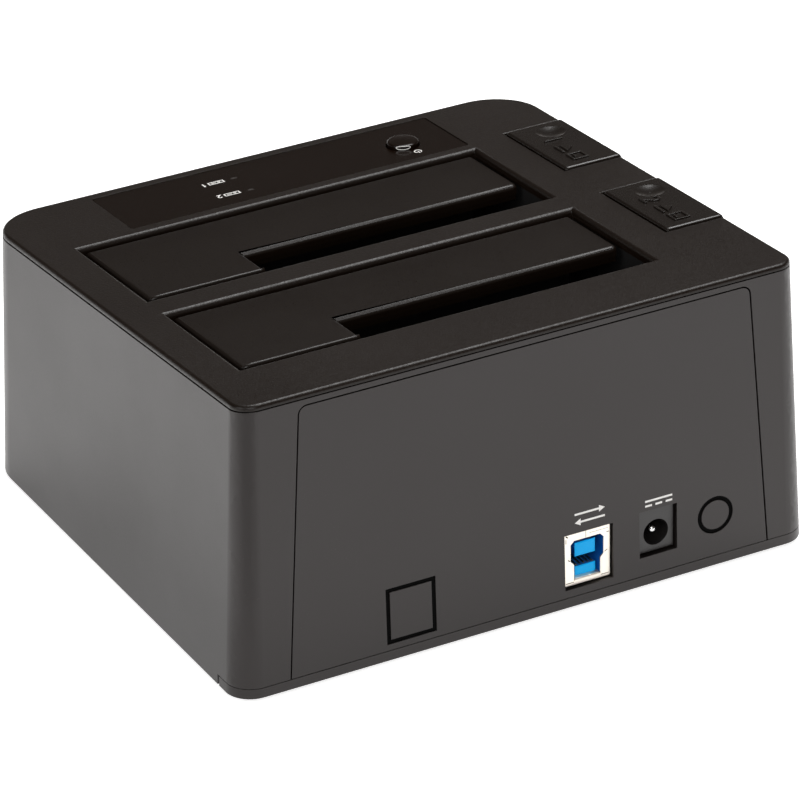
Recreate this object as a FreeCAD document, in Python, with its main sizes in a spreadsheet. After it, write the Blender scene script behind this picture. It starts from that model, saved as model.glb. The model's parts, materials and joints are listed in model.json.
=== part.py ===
"""Two-bay docking station for bare hard drives, as separate pieces in one document.

Lengths are millimetres and angles degrees. X runs along the drive slots, Y points to the
rear, where the ports are, and Z points up. The origin is the bottom centre, on the surface
that the rubber feet stand on. The top of the casing slopes down towards the front: the deck
frame (x, v, w) lies in that slope, v rising to the rear and w square to it.
"""
import FreeCAD, Part
import Sketcher
import math
import os

SIZES = {
    # casing
    "body_length": 147.4, "body_depth": 134.0, "rear_height": 71.4, "top_slope": 4.2,
    "side_draft": 2.83, "end_draft": 1.11, "rear_corner": 6.3, "front_corner": 14.5,
    "corner_narrowing": 1.4, "casing_wall": 2.2, "foot_height": 1.2, "base_thickness": 2.4,
    "seam": 0.25, "slip": 0.15, "base_seam": 0.08, "lip_reach": 9.6, "lip_slit": 0.7,
    # top cover
    "cover_plate": 2.4, "cover_edge": 1.3, "cover_rim": 5.2, "rim_thickness": 1.4,
    "cover_fillet": 0.9, "opening_round": 1.2, "rear_rim_slip": 0.5,
    # drive bays and flaps: margins from the casing's ends, front and rear
    "bay_left_margin": 29.55, "bay_right_margin": 13.85, "bay_row_margin": 41.6,
    "bay_between": 9.2, "bay_shift_v": 4.75, "slot_share": 0.704, "slot_width": 13.5,
    "flap_gap": 0.6, "flap_end_gap": 1.2, "flap_corner": 1.6,
    "flap_recess": 1.0, "flap_plate": 2.4, "flap_rib": 1.4, "rib_thickness": 1.2,
    "flap_round": 1.2, "hinge_drop": 2.8, "hinge_inset": 1.1, "barrel_radius": 1.6,
    "hinge_pin_radius": 0.8, "turning_gap": 0.12, "well_setback": 1.5, "frame_wall": 1.6,
    "frame_floor": 2.0, "spring_notch": 9.0, "spring_setback": 21.85, "coil_wire": 0.25,
    # boards and drive sockets
    "board_level": 18.6, "board_thickness": 1.6, "board_end_margin": 14.7,
    "board_front_margin": 15.0, "board_rear_margin": 5.5, "socket_height": 9.0,
    "socket_length": 37.4, "socket_width": 5.0, "socket_entry": 4.9, "drive_clearance": 2.4,
    "socket_from_side": 30.12, "socket_from_face": 3.5, "standoff_radius": 3.0,
    "screw_radius": 1.25, "screw_head_radius": 2.4, "screw_head": 1.5,
    # parts on the boards, and the flat cable
    "bridge_side": 10.0, "bridge_height": 1.0, "regulator_length": 5.0,
    "regulator_width": 4.0, "regulator_height": 1.4, "inductor_side": 6.5,
    "inductor_height": 3.2, "can_radius": 3.15, "can_height": 7.2, "can_foot": 0.7,
    "regulator_share": 0.4068, "crystal_length": 5.0, "crystal_width": 3.2, "crystal_height": 0.9,
    "cable_x": 30.0, "cable_margin": 20.5, "cable_width": 10.0, "cable_thickness": 0.35,
    "cable_sag": 5.0, "cable_socket_length": 12.0, "cable_socket_width": 4.0,
    "cable_socket_height": 2.2,
    # eject buttons and levers
    "button_width": 29.4, "button_reach": 18.8, "button_shift": 8.6, "button_gap": 0.35,
    "button_rise": 0.4, "button_plate": 2.0, "button_face": 5.0, "button_travel": 4.0,
    "curtain_depth": 12.0, "curtain_thickness": 1.2, "button_round": 0.7, "stem_radius": 1.7,
    "stem_setback": 11.2, "lever_arm": 10.0, "lift_arm": 13.0, "lever_tilt": 11.46,
    "lever_thickness": 2.0, "lever_width": 12.0, "lever_shift": 6.3, "hub_radius": 2.9,
    "lever_pin_radius": 1.25, "bracket_wall": 1.6, "shelf_depth": 17.0, "return_wire": 0.3,
    "stem_shift": 4.6, "dimple_radius": 4.7, "dimple_rise": 1.0, "dimple_depth": 0.6,
    # strip, lamps and power button
    "strip_length": 89.2, "strip_width": 22.4, "strip_margin": 15.6, "strip_thickness": 0.8,
    "strip_recess": 0.15, "strip_corner": 0.8, "lamp_x": 10.9, "lamp_pitch": 8.9,
    "lamp_window": 0.8, "lamp_length": 1.5, "power_x": 31.9, "power_margin": 16.9,
    "power_radius": 3.85, "power_rise": 1.3, "power_travel": 0.6, "control_level": 9.6,
    "control_length": 90.0, "control_width": 19.0,
    # rear panel and ports: distances from the panel's ends
    "panel_end_margin": 17.15, "panel_shift": 0.8, "panel_lean": 4.1, "panel_top_gap": 3.2,
    "panel_thickness": 2.2, "panel_corner": 2.0, "panel_inset": 0.06, "panel_seam": 0.32,
    "panel_flange": 1.2,
    "flange_reach": 1.8, "flange_gap": 8.2, "usb_margin": 41.35, "usb_level": 11.4,
    "usb_width": 11.9, "usb_height": 13.3, "usb_depth": 17.0, "usb_wall": 0.4,
    "port_gap": 0.3, "port_recess": 0.9, "jack_margin": 23.25, "jack_level": 13.0,
    "jack_width": 9.2, "jack_height": 11.0, "jack_depth": 13.5, "jack_recess": 1.15,
    "jack_bore": 3.2, "jack_bore_level": 12.2, "jack_pin_radius": 1.05,
    "round_blank_margin": 8.2, "round_blank_level": 12.9, "round_blank_radius": 4.65,
    "square_blank_margin": 26.25, "square_blank_level": 11.0, "square_blank_length": 12.5,
    "square_blank_height": 13.9, "groove_width": 1.0, "groove_depth": 1.4,
    # feet, and the cover's posts in the casing's corners
    "foot_radius": 5.6, "foot_seat": 0.8, "foot_end_margin": 22.7, "foot_side_margin": 19.0,
    "post_end_margin": 10.1, "post_front_margin": 11.5, "post_rear_margin": 11.0,
    "post_radius": 3.3,
}

doc = FreeCAD.newDocument("docking_station")


class Size:
    """A number together with the sheet expression that works it out."""

    def __init__(self, value, text):
        self.value = value
        self.text = text

    def joined(self, other, sign, result):
        return Size(result(self.value, other.value), f"({self.text} {sign} {other.text})")

    def __add__(self, other):
        return self.joined(size(other), "+", lambda a, b: a + b)

    def __sub__(self, other):
        return self.joined(size(other), "-", lambda a, b: a - b)

    def __mul__(self, other):
        return self.joined(size(other), "*", lambda a, b: a * b)

    def __truediv__(self, other):
        return self.joined(size(other), "/", lambda a, b: a / b)

    def __radd__(self, other):
        return size(other) + self

    def __rsub__(self, other):
        return size(other) - self

    def __rmul__(self, other):
        return size(other) * self

    def __neg__(self):
        return size(0) - self


def size(thing):
    """Wraps a plain number, and leaves a Size as it is."""
    return thing if isinstance(thing, Size) else Size(float(thing), repr(float(thing)))


def turned(name, function, angle):
    """A trigonometric function of an angle in degrees."""
    return Size(function(math.radians(angle.value)), f"{name}({angle.text})")


def make_sheet():
    """Writes the driving sizes to a spreadsheet and returns them by name."""
    sheet = doc.addObject("Spreadsheet::Sheet", "Sizes")
    for row, (name, number) in enumerate(SIZES.items(), 1):
        sheet.set(f"A{row}", name)
        sheet.set(f"B{row}", str(number))
        sheet.setAlias(f"B{row}", name)
    doc.recompute()
    return {name: Size(float(number), f"Sizes.{name}") for name, number in SIZES.items()}


class Named:
    """The driving sizes as attributes, so that a size reads as its plain name."""

    def __init__(self, sizes):
        self.__dict__.update(sizes)


d = Named(make_sheet())

# Lengths that follow the casing's: what is left between two margins.
half_length, half_depth = d.body_length / 2, d.body_depth / 2
d.bay_length = d.body_length - d.bay_left_margin - d.bay_right_margin
d.bay_shift_x = (d.bay_left_margin - d.bay_right_margin) / 2
d.bay_pitch = (d.body_depth - d.bay_row_margin) / 2
d.bay_width = d.bay_pitch - d.bay_between
d.slot_length = d.bay_length * d.slot_share
d.spring_place = d.bay_shift_x + d.bay_length / 2 - d.spring_setback
d.board_length = d.body_length - 2 * d.board_end_margin
d.board_front, d.board_rear = half_depth - d.board_front_margin, half_depth - d.board_rear_margin
d.drive_length = d.bay_length - d.drive_clearance
d.button_inner, d.stem_place = half_length - d.button_reach, half_length - d.stem_setback
d.strip_place, d.power_place = half_depth - d.strip_margin, half_depth - d.power_margin
d.panel_length = d.body_length - 2 * d.panel_end_margin
d.flange_height = d.rear_height - d.panel_top_gap - d.flange_gap
d.usb_x, d.jack_x = d.panel_length / 2 - d.usb_margin, d.panel_length / 2 - d.jack_margin
d.round_blank_x = d.panel_length / 2 - d.round_blank_margin
d.square_blank_x = d.panel_length / 2 - d.square_blank_margin
d.foot_x, d.foot_y = half_length - d.foot_end_margin, half_depth - d.foot_side_margin
d.post_x = half_length - d.post_end_margin
d.post_front, d.post_rear = half_depth - d.post_front_margin, half_depth - d.post_rear_margin

# The slope of the top, and the casing's own levels.
slope_tan = turned("tan", math.tan, d.top_slope)
slope_sin = turned("sin", math.sin, d.top_slope)
slope_cos = turned("cos", math.cos, d.top_slope)
casing_floor = d.foot_height
top_rear_y = d.body_depth / 2 - d.rear_height * turned("tan", math.tan, d.end_draft)
deck_middle = casing_floor + d.rear_height - top_rear_y * slope_tan
board_bottom = casing_floor + d.board_level
board_top = board_bottom + d.board_thickness
well_floor = board_top + d.socket_height - d.socket_entry
FAR = 200.0


def bind(thing, **links):
    """Binds properties to sheet expressions: a double underscore stands for a dot."""
    for name, link in links.items():
        thing.setExpression(name.replace("__", "."), size(link).text)


def body(label, deck=False):
    """A PartDesign body, laid in the deck frame where deck is true."""
    made = doc.addObject("PartDesign::Body", label)
    made.Label = label
    if deck:
        lay_on_deck(made)
    return made


def lay_on_deck(thing):
    """Turns an object built about the origin into the sloping deck frame."""
    tilt = FreeCAD.Rotation(FreeCAD.Vector(1, 0, 0), d.top_slope.value)
    thing.Placement = FreeCAD.Placement(FreeCAD.Vector(0, 0, deck_middle.value), tilt)
    bind(thing, Placement__Base__z=deck_middle, Placement__Rotation__Angle=d.top_slope)


def sketch_on(owner, plane, level=0, lean=None, up=0):
    """An empty sketch on one of a body's own planes, moved along and turned about it."""
    sketch = owner.newObject("Sketcher::SketchObject", f"{owner.Name}_sketch")
    base = [item for item in owner.Origin.OriginFeatures if item.Role == plane][0]
    sketch.AttachmentSupport = [(base, "")]
    sketch.MapMode = "FlatFace"
    angle = size(0) if lean is None else lean
    turn = FreeCAD.Rotation(FreeCAD.Vector(1, 0, 0), angle.value)
    place = FreeCAD.Vector(0, size(up).value, size(level).value)
    sketch.AttachmentOffset = FreeCAD.Placement(place, turn)
    bind(sketch, AttachmentOffset__Base__z=level, AttachmentOffset__Base__y=up)
    if lean is not None:
        bind(sketch, AttachmentOffset__Rotation__Angle=lean)
    return sketch


def hold(sketch, kind, number, *where):
    """Adds a dimension whose value follows the sheet."""
    index = sketch.addConstraint(Sketcher.Constraint(kind, *where, number.value))
    sketch.setExpression(f"Constraints[{index}]", number.text)


def corner_points(corners):
    """Where each side starts and ends, and the arc at each rounded corner."""
    points = [FreeCAD.Vector(size(c[0]).value, size(c[1]).value, 0) for c in corners]
    ends, starts, arcs = [], [], []
    for index, corner in enumerate(corners):
        here = points[index]
        back = (points[index - 1] - here).normalize()
        ahead = (points[(index + 1) % len(points)] - here).normalize()
        radius = size(corner[2]).value if len(corner) > 2 else 0
        half = math.acos(max(-1.0, min(1.0, back.dot(ahead)))) / 2
        reach = radius / math.tan(half)
        ends.append(here + back * reach)
        starts.append(here + ahead * reach)
        towards = (back + ahead).normalize() if radius else None
        middle = here + towards * (radius / math.sin(half) - radius) if radius else None
        arcs.append(middle)
    return points, ends, starts, arcs


def outline(sketch, corners):
    """A closed outline from corners (x, y) or (x, y, radius), each bound to the sheet."""
    points, ends, starts, arcs = corner_points(corners)
    count = len(corners)
    sides = [sketch.addGeometry(Part.LineSegment(starts[i], ends[(i + 1) % count]), False)
             for i in range(count)]
    for index, corner in enumerate(corners):
        before, after = sides[index - 1], sides[index]
        if arcs[index] is None:
            sketch.addConstraint(Sketcher.Constraint("Coincident", before, 2, after, 1))
            anchor = after
        else:
            curve = Part.Arc(ends[index], arcs[index], starts[index])
            arc = sketch.addGeometry(curve, False)
            first = 1 if (sketch.Geometry[arc].StartPoint - ends[index]).Length < 1e-6 else 2
            sketch.addConstraint(Sketcher.Constraint("Tangent", before, 2, arc, first))
            sketch.addConstraint(Sketcher.Constraint("Tangent", arc, 3 - first, after, 1))
            hold(sketch, "Radius", size(corner[2]), arc)
            anchor = sketch.addGeometry(Part.Point(points[index]), True)
            for side in (before, after):
                sketch.addConstraint(Sketcher.Constraint("PointOnObject", anchor, 1, side))
        hold(sketch, "DistanceX", size(corner[0]), -1, 1, anchor, 1)
        hold(sketch, "DistanceY", size(corner[1]), -1, 1, anchor, 1)
    return sketch


def circle(sketch, x, y, radius):
    """A circle bound to the sheet."""
    centre = FreeCAD.Vector(size(x).value, size(y).value, 0)
    normal = FreeCAD.Vector(0, 0, 1)
    ring = sketch.addGeometry(Part.Circle(centre, normal, size(radius).value), False)
    hold(sketch, "Radius", size(radius), ring)
    hold(sketch, "DistanceX", size(x), -1, 1, ring, 3)
    hold(sketch, "DistanceY", size(y), -1, 1, ring, 3)
    return sketch


def rectangle(x_low, x_high, y_low, y_high, radius=None):
    """Corners of an upright rectangle, all of one radius."""
    corners = [(x_low, y_low), (x_high, y_low), (x_high, y_high), (x_low, y_high)]
    return corners if radius is None else [corner + (radius,) for corner in corners]


def pad(owner, sketch, length, backwards=False):
    """Adds material along a sketch's normal, or against it."""
    feature = owner.newObject("PartDesign::Pad", f"{owner.Name}_pad")
    feature.Profile = sketch
    feature.Reversed = backwards
    bind(feature, Length=length)
    return feature


def pocket(owner, sketch, depth=None, backwards=False, both=False):
    """Cuts against a sketch's normal, or along it: all the way where no depth is given."""
    feature = owner.newObject("PartDesign::Pocket", f"{owner.Name}_pocket")
    feature.Profile = sketch
    feature.Reversed = backwards
    if both:
        feature.SideType = "Symmetric"
    if depth is None:
        feature.Type = "ThroughAll"
    else:
        bind(feature, Length=depth)
    return feature


def loft(owner, kind, low, high):
    """A ruled loft between two sketches that have the same corners."""
    feature = owner.newObject(f"PartDesign::{kind}Loft", f"{owner.Name}_loft")
    feature.Profile = low
    feature.Sections = [high]
    feature.Ruled = True
    return feature


def round_edges(owner, radius, wanted, kind="Fillet"):
    """Rounds, or bevels, the edges of the tip that the test picks."""
    doc.recompute()
    tip = owner.Tip
    names = [f"Edge{i}" for i, edge in enumerate(tip.Shape.Edges, 1) if wanted(edge)]
    feature = owner.newObject(f"PartDesign::{kind}", f"{owner.Name}_{kind.lower()}")
    feature.Base = (tip, names)
    bind(feature, **{"Radius" if kind == "Fillet" else "Size": radius})
    return feature


def at_level(level):
    """An edge test: the whole edge lies at one height of the body's own frame."""
    wanted = size(level).value

    def test(edge):
        ends = [edge.valueAt(p) for p in (edge.FirstParameter, edge.LastParameter)]
        return all(abs(point.z - wanted) < 1e-4 for point in ends)
    return test


def block(label, x_low, x_high, y_low, y_high, z_low, z_high):
    """A Part::Box between bound limits."""
    made = doc.addObject("Part::Box", label)
    bind(made, Length=size(x_high) - x_low, Width=size(y_high) - y_low,
         Height=size(z_high) - z_low, Placement__Base__x=x_low, Placement__Base__y=y_low,
         Placement__Base__z=z_low)
    return made


TURNS = {"x": ((0, 1, 0), 90), "y": ((1, 0, 0), -90), "z": ((0, 0, 1), 0)}


def rod(label, along, radius, length, x, y, z):
    """A Part::Cylinder that starts at (x, y, z) and runs along x, y or z."""
    made = doc.addObject("Part::Cylinder", label)
    axis, angle = TURNS[along]
    turn = FreeCAD.Rotation(FreeCAD.Vector(*axis), angle)
    made.Placement = FreeCAD.Placement(FreeCAD.Vector(), turn)
    bind(made, Radius=radius, Height=length, Placement__Base__x=x, Placement__Base__y=y,
         Placement__Base__z=z)
    return made


def fused(label, pieces):
    """One solid from pieces that meet."""
    made = doc.addObject("Part::MultiFuse", label)
    made.Shapes = pieces
    made.Refine = True
    return made


def cut(label, base, tools):
    """A base with the tools taken away."""
    made = doc.addObject("Part::Cut", label)
    made.Base = base
    made.Tool = tools[0] if len(tools) == 1 else fused(f"{label}_tools", tools)
    made.Refine = True
    return made


def group(label, pieces):
    """Separate like solids that share one node."""
    made = doc.addObject("Part::Compound", label)
    made.Links = pieces
    return made


NODES = []


def node(made, label, deck=False):
    """Names a finished sub-part, and lays it on the deck where it belongs there."""
    if deck:
        if made.TypeId in ("Part::Box", "Part::Cylinder", "Part::Sweep"):
            made.Label = f"{label}_upright"
            made = group(f"{label}_laid", [made])
        lay_on_deck(made)
    made.Label = label
    NODES.append(made)
    return made


def casing_corners(inset, level):
    """The casing's drafted outline at a height above its bottom edge, set in by inset."""
    half_x = d.body_length / 2 - level * turned("tan", math.tan, d.side_draft) - inset
    half_y = d.body_depth / 2 - level * turned("tan", math.tan, d.end_draft) - inset
    narrowing = d.corner_narrowing * level / d.rear_height
    rear = d.rear_corner - narrowing - inset
    front = d.front_corner - narrowing - inset
    return [(-half_x, -half_y, front), (half_x, -half_y, front),
            (half_x, half_y, rear), (-half_x, half_y, rear)]


def casing_loft(owner, kind, inset, low, high):
    """A drafted block between two heights above the casing's bottom edge."""
    sketches = []
    for level in (size(low), size(high)):
        sketch = sketch_on(owner, "XY_Plane", casing_floor + level)
        sketches.append(outline(sketch, casing_corners(size(inset), level)))
    return loft(owner, kind, *sketches)


def deck_z(y, below=0):
    """World height of the plane that lies a distance below the deck, at a world y."""
    return deck_middle + y * slope_tan - size(below) / slope_cos


def deck_corners(inset, rear_slip=0):
    """The casing's outline where the deck cuts it, in deck coordinates."""
    side = turned("tan", math.tan, d.side_draft)
    end = turned("tan", math.tan, d.end_draft)
    front_y = (d.body_depth / 2 - (deck_middle - casing_floor) * end) / (1 - slope_tan * end)
    rear_half = d.body_length / 2 - d.rear_height * side - inset
    front_half = d.body_length / 2 - (deck_z(-front_y) - casing_floor) * side - inset
    rear_v = top_rear_y / slope_cos - inset - rear_slip
    front_v = front_y / slope_cos - inset
    rear = d.rear_corner - d.corner_narrowing - inset
    front = d.front_corner - d.corner_narrowing - inset
    return [(-front_half, -front_v, front), (front_half, -front_v, front),
            (rear_half, rear_v, rear), (-rear_half, rear_v, rear)]


def bay_middle(bay):
    """Deck coordinate v of the middle of a bay: bay 0 is the front one."""
    return d.bay_shift_v + d.bay_pitch * (bay - 0.5)


def world_y(v, below=0):
    """World y of a point in the deck frame, a distance below the deck."""
    return v * slope_cos + size(below) * slope_sin


def side_point(v, w):
    """A deck point (v, w) as world y and z."""
    return v * slope_cos - size(w) * slope_sin, deck_middle + v * slope_sin + size(w) * slope_cos


bay_left = d.bay_shift_x - d.bay_length / 2
bay_right = d.bay_shift_x + d.bay_length / 2
slot_end = bay_left + d.slot_length
bay_half = d.bay_width / 2
well_rear_gap = d.flap_gap / 2


def button_middle(bay):
    """Deck coordinate v of the middle of an eject button."""
    return bay_middle(bay) - d.button_shift


def lever_middle(bay):
    """Deck coordinate v of the middle of an eject lever."""
    return bay_middle(bay) + d.lever_shift


def lever_pivot(bay):
    """Deck coordinate w of an eject lever's pivot, just over the floor of its well."""
    tip_drop = d.lift_arm * turned("sin", math.sin, d.lever_tilt)
    world = well_floor - 0.2 - d.lever_thickness / 2 + tip_drop
    return (world - deck_middle - lever_middle(bay) * slope_sin) / slope_cos


def make_main_shell():
    """Front, sides and rear corners of the casing, open at the rear for the port panel."""
    shell = body("main_shell")
    above = 6.0
    casing_loft(shell, "Additive", 0, 0, d.rear_height + above)
    casing_loft(shell, "Subtractive", d.casing_wall, -1, d.rear_height + above + 1)
    over = d.cover_edge + d.seam
    deck_cut = [(-FAR, deck_z(size(-FAR), over)), (size(FAR), deck_z(size(FAR), over)),
                (FAR, FAR), (-FAR, FAR)]
    pocket(shell, outline(sketch_on(shell, "YZ_Plane"), deck_cut), both=True)
    opening = panel_sketch(shell, -1, d.panel_seam, d.rear_height - d.panel_top_gap, -3)
    pocket(shell, opening, size(12), backwards=True)
    lip_start = d.body_depth / 2 - d.lip_reach - d.lip_slit
    lip_top = casing_floor + d.base_thickness + d.base_seam
    lip_cut = rectangle(lip_start, FAR, -FAR, lip_top)
    pocket(shell, outline(sketch_on(shell, "YZ_Plane"), lip_cut), both=True)
    for bay in (0, 1):
        half = d.button_width / 2
        low, high = button_middle(bay) - half, button_middle(bay) + half
        depth = -(d.button_face + d.button_travel + 0.6)
        notch = [side_point(low, depth), side_point(high, depth), side_point(high, 20),
                 side_point(low, 20)]
        pocket(shell, outline(sketch_on(shell, "YZ_Plane"), notch))
    return node(shell, "main_shell")


def post_places():
    """Where the cover's four long posts stand, inside the casing's corners."""
    return [(-d.post_x, -d.post_front), (d.post_x, -d.post_front),
            (d.post_x, d.post_rear), (-d.post_x, d.post_rear)]


def panel_sketch(owner, inset, grow, top, bottom):
    """The port panel's outline, parallel to the leaning rear face: wider at the bottom."""
    sketch = sketch_on(owner, "XZ_Plane", size(inset) - d.body_depth / 2, d.end_draft, casing_floor)
    lean = turned("tan", math.tan, d.panel_lean)
    whole = d.rear_height - d.panel_top_gap
    top, bottom = size(top) + grow, size(bottom)
    top_half = d.panel_length / 2 + grow + (whole - top) * lean
    bottom_half = d.panel_length / 2 + grow + (whole - bottom) * lean
    corner = d.panel_corner + grow
    shift = -d.panel_shift
    return outline(sketch, [(shift - bottom_half, bottom), (shift + bottom_half, bottom),
                            (shift + top_half, top, corner), (shift - top_half, top, corner)])


def rear_face(owner):
    """A sketch on the rear face, whose own origin is its bottom edge."""
    return sketch_on(owner, "XZ_Plane", -d.body_depth / 2, d.end_draft, casing_floor)


def port_hole(x, level, length, height, grow):
    """Corners of a port's hole in the rear face."""
    return rectangle(x - length / 2 - grow, x + length / 2 + grow,
                     level - height / 2 - grow, level + height / 2 + grow)


def make_rear_panel():
    """Port panel: holes for the two live ports, moulded grooves round the unused ones."""
    panel = body("rear_panel")
    bottom = d.base_thickness + d.base_seam
    whole = d.rear_height - d.panel_top_gap
    behind = d.casing_wall + d.slip
    pad(panel, panel_sketch(panel, d.panel_inset, size(0), whole, bottom), behind - d.panel_inset)
    flange = panel_sketch(panel, behind, d.flange_reach, d.flange_height, bottom)
    pad(panel, flange, d.panel_flange)
    usb = port_hole(-d.usb_x, d.usb_level, d.usb_width, d.usb_height, d.port_gap)
    jack = port_hole(-d.jack_x, d.jack_level, d.jack_width, d.jack_height, d.port_gap)
    for hole in (usb, jack):
        pocket(panel, outline(rear_face(panel), hole), both=True)
    ring = circle(rear_face(panel), -d.round_blank_x, d.round_blank_level, d.round_blank_radius)
    circle(ring, -d.round_blank_x, d.round_blank_level, d.round_blank_radius - d.groove_width)
    depth = d.panel_inset + d.groove_depth
    pocket(panel, ring, depth, backwards=True)
    square = rear_face(panel)
    for grow in (size(0), -d.groove_width):
        outline(square, port_hole(d.square_blank_x, d.square_blank_level,
                                  d.square_blank_length, d.square_blank_height, grow))
    pocket(panel, square, depth, backwards=True)
    return node(panel, "rear_panel")


def standoff_places():
    """Where the frame and the main board stand on the base."""
    front_y = world_y(bay_middle(0)) - 11
    rear_y = world_y(bay_middle(1)) - 11
    left, right = bay_left + 16, bay_right - 8
    return [(left, front_y), (right, front_y), (left, rear_y), (right, rear_y)]


def board_screw_places():
    """Two more screws hold the board close to its ports."""
    x = d.board_length / 2 - 5
    return [(-x, d.board_rear - 6), (x, d.board_rear - 6)]


def foot_places():
    """The four rubber feet."""
    return [(-d.foot_x, -d.foot_y), (d.foot_x, -d.foot_y),
            (d.foot_x, d.foot_y), (-d.foot_x, d.foot_y)]


def make_base_plate():
    """Bottom plate: inside the shell at the front and sides, a full lip at the rear."""
    base = body("base_plate")
    casing_loft(base, "Additive", 0, 0, d.base_thickness)
    lip_start = d.body_depth / 2 - d.lip_reach
    front = rectangle(-FAR, FAR, -FAR, lip_start)
    pocket(base, outline(sketch_on(base, "XY_Plane"), front), both=True)
    inset = d.casing_wall + d.slip
    half_x, half_y = d.body_length / 2 - inset - 0.2, d.body_depth / 2 - inset
    plate = rectangle(-half_x, half_x, -half_y, lip_start + 1)
    plate[0] += (d.front_corner - inset,)
    plate[1] += (d.front_corner - inset,)
    pad(base, outline(sketch_on(base, "XY_Plane", casing_floor), plate), d.base_thickness)
    post_height = d.board_level - d.base_thickness
    for x, y in standoff_places() + board_screw_places():
        post = circle(sketch_on(base, "XY_Plane", casing_floor + d.base_thickness), x, y,
                      d.standoff_radius)
        pad(base, post, post_height)
        hole = circle(sketch_on(base, "XY_Plane", board_bottom), x, y, d.screw_radius + d.slip)
        pocket(base, hole, post_height - 2)
    for x, y in foot_places():
        seat = circle(sketch_on(base, "XY_Plane", casing_floor), x, y, d.foot_radius + d.slip)
        pocket(base, seat, d.foot_seat, backwards=True)
    for x, y in post_places():
        for radius, depth in ((d.screw_radius + d.slip, d.base_thickness + 1),
                              (d.screw_head_radius + d.slip, d.screw_head)):
            hole = circle(sketch_on(base, "XY_Plane", casing_floor), x, y, radius)
            pocket(base, hole, depth, backwards=True)
    return node(base, "base_plate")


def make_top_cover():
    """Sloping lid: rounded rim, bay openings, button notches and posts down to the base."""
    lid = body("cover_lid", deck=True)
    edge = sketch_on(lid, "XY_Plane", -d.cover_edge)
    pad(lid, outline(edge, deck_corners(size(0))), d.cover_edge)
    round_edges(lid, d.cover_fillet, at_level(0))
    inset = d.casing_wall + d.slip
    lower = sketch_on(lid, "XY_Plane", -d.cover_rim)
    rim = outline(lower, deck_corners(inset, d.rear_rim_slip))
    pad(lid, rim, d.cover_rim - d.cover_edge)
    hollow = sketch_on(lid, "XY_Plane", -d.cover_plate)
    inner = deck_corners(inset + d.rim_thickness, d.rear_rim_slip)
    pocket(lid, outline(hollow, inner), d.cover_rim)
    for bay in (0, 1):
        middle = bay_middle(bay)
        opening = rectangle(bay_left, bay_right, middle - bay_half, middle + bay_half)
        pocket(lid, outline(sketch_on(lid, "XY_Plane"), opening), both=True)
    round_edges(lid, d.opening_round, bay_edge)
    for bay in (0, 1):
        middle = button_middle(bay)
        half = d.button_width / 2
        notch = rectangle(-FAR, -d.button_inner, middle - half, middle + half)
        pocket(lid, outline(sketch_on(lid, "XY_Plane"), notch), both=True)
    half = d.strip_width / 2
    recess = rectangle(-d.strip_length / 2, d.strip_length / 2, -d.strip_place - half,
                       -d.strip_place + half, d.strip_corner)
    depth = d.strip_recess + d.strip_thickness
    pocket(lid, outline(sketch_on(lid, "XY_Plane"), recess), depth)
    holes = circle(sketch_on(lid, "XY_Plane"), -d.power_x, -d.power_place, d.power_radius + 0.3)
    for v in lamp_places():
        outline(holes, rectangle(d.lamp_x - 1.6, d.lamp_x + 1.6, v - 1, v + 1))
    pocket(lid, holes, both=True)
    for x, v in control_posts():
        post = circle(sketch_on(lid, "XY_Plane", -d.cover_plate), x, v, size(2.4))
        pad(lid, post, d.control_level - d.cover_plate, backwards=True)
        hole = circle(sketch_on(lid, "XY_Plane", -d.control_level), x, v, d.screw_radius)
        pocket(lid, hole, size(4.5), backwards=True)
    low = casing_floor + d.base_thickness
    posts = [rod(f"post_{number}", "z", d.post_radius, deck_z(y, d.cover_plate / 2) - low, x, y, low)
             for number, (x, y) in enumerate(post_places(), 1)]
    holes = [rod(f"post_hole_{number}", "z", d.screw_radius, 12, x, y, low - 1)
             for number, (x, y) in enumerate(post_places(), 1)]
    return node(cut("top_cover", fused("cover_with_posts", [lid] + posts), holes), "top_cover")


def bay_edge(edge):
    """An edge test: the upper edges of the two bay openings."""
    ends = [edge.valueAt(p) for p in (edge.FirstParameter, edge.LastParameter)]
    left, right = bay_left.value - 0.01, bay_right.value + 0.01
    return all(abs(p.z) < 1e-4 and left < p.x < right and abs(p.y) < 60 for p in ends)


def lamp_places():
    """Deck coordinate v of each bay's indicator window."""
    middle = 0.9 - d.strip_place
    return [middle - d.lamp_pitch / 2, middle + d.lamp_pitch / 2]


def control_posts():
    """Where the control board is screwed up under the cover."""
    x = d.control_length / 2 - 4
    return [(-x, -d.strip_place), (x, -d.strip_place)]


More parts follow.
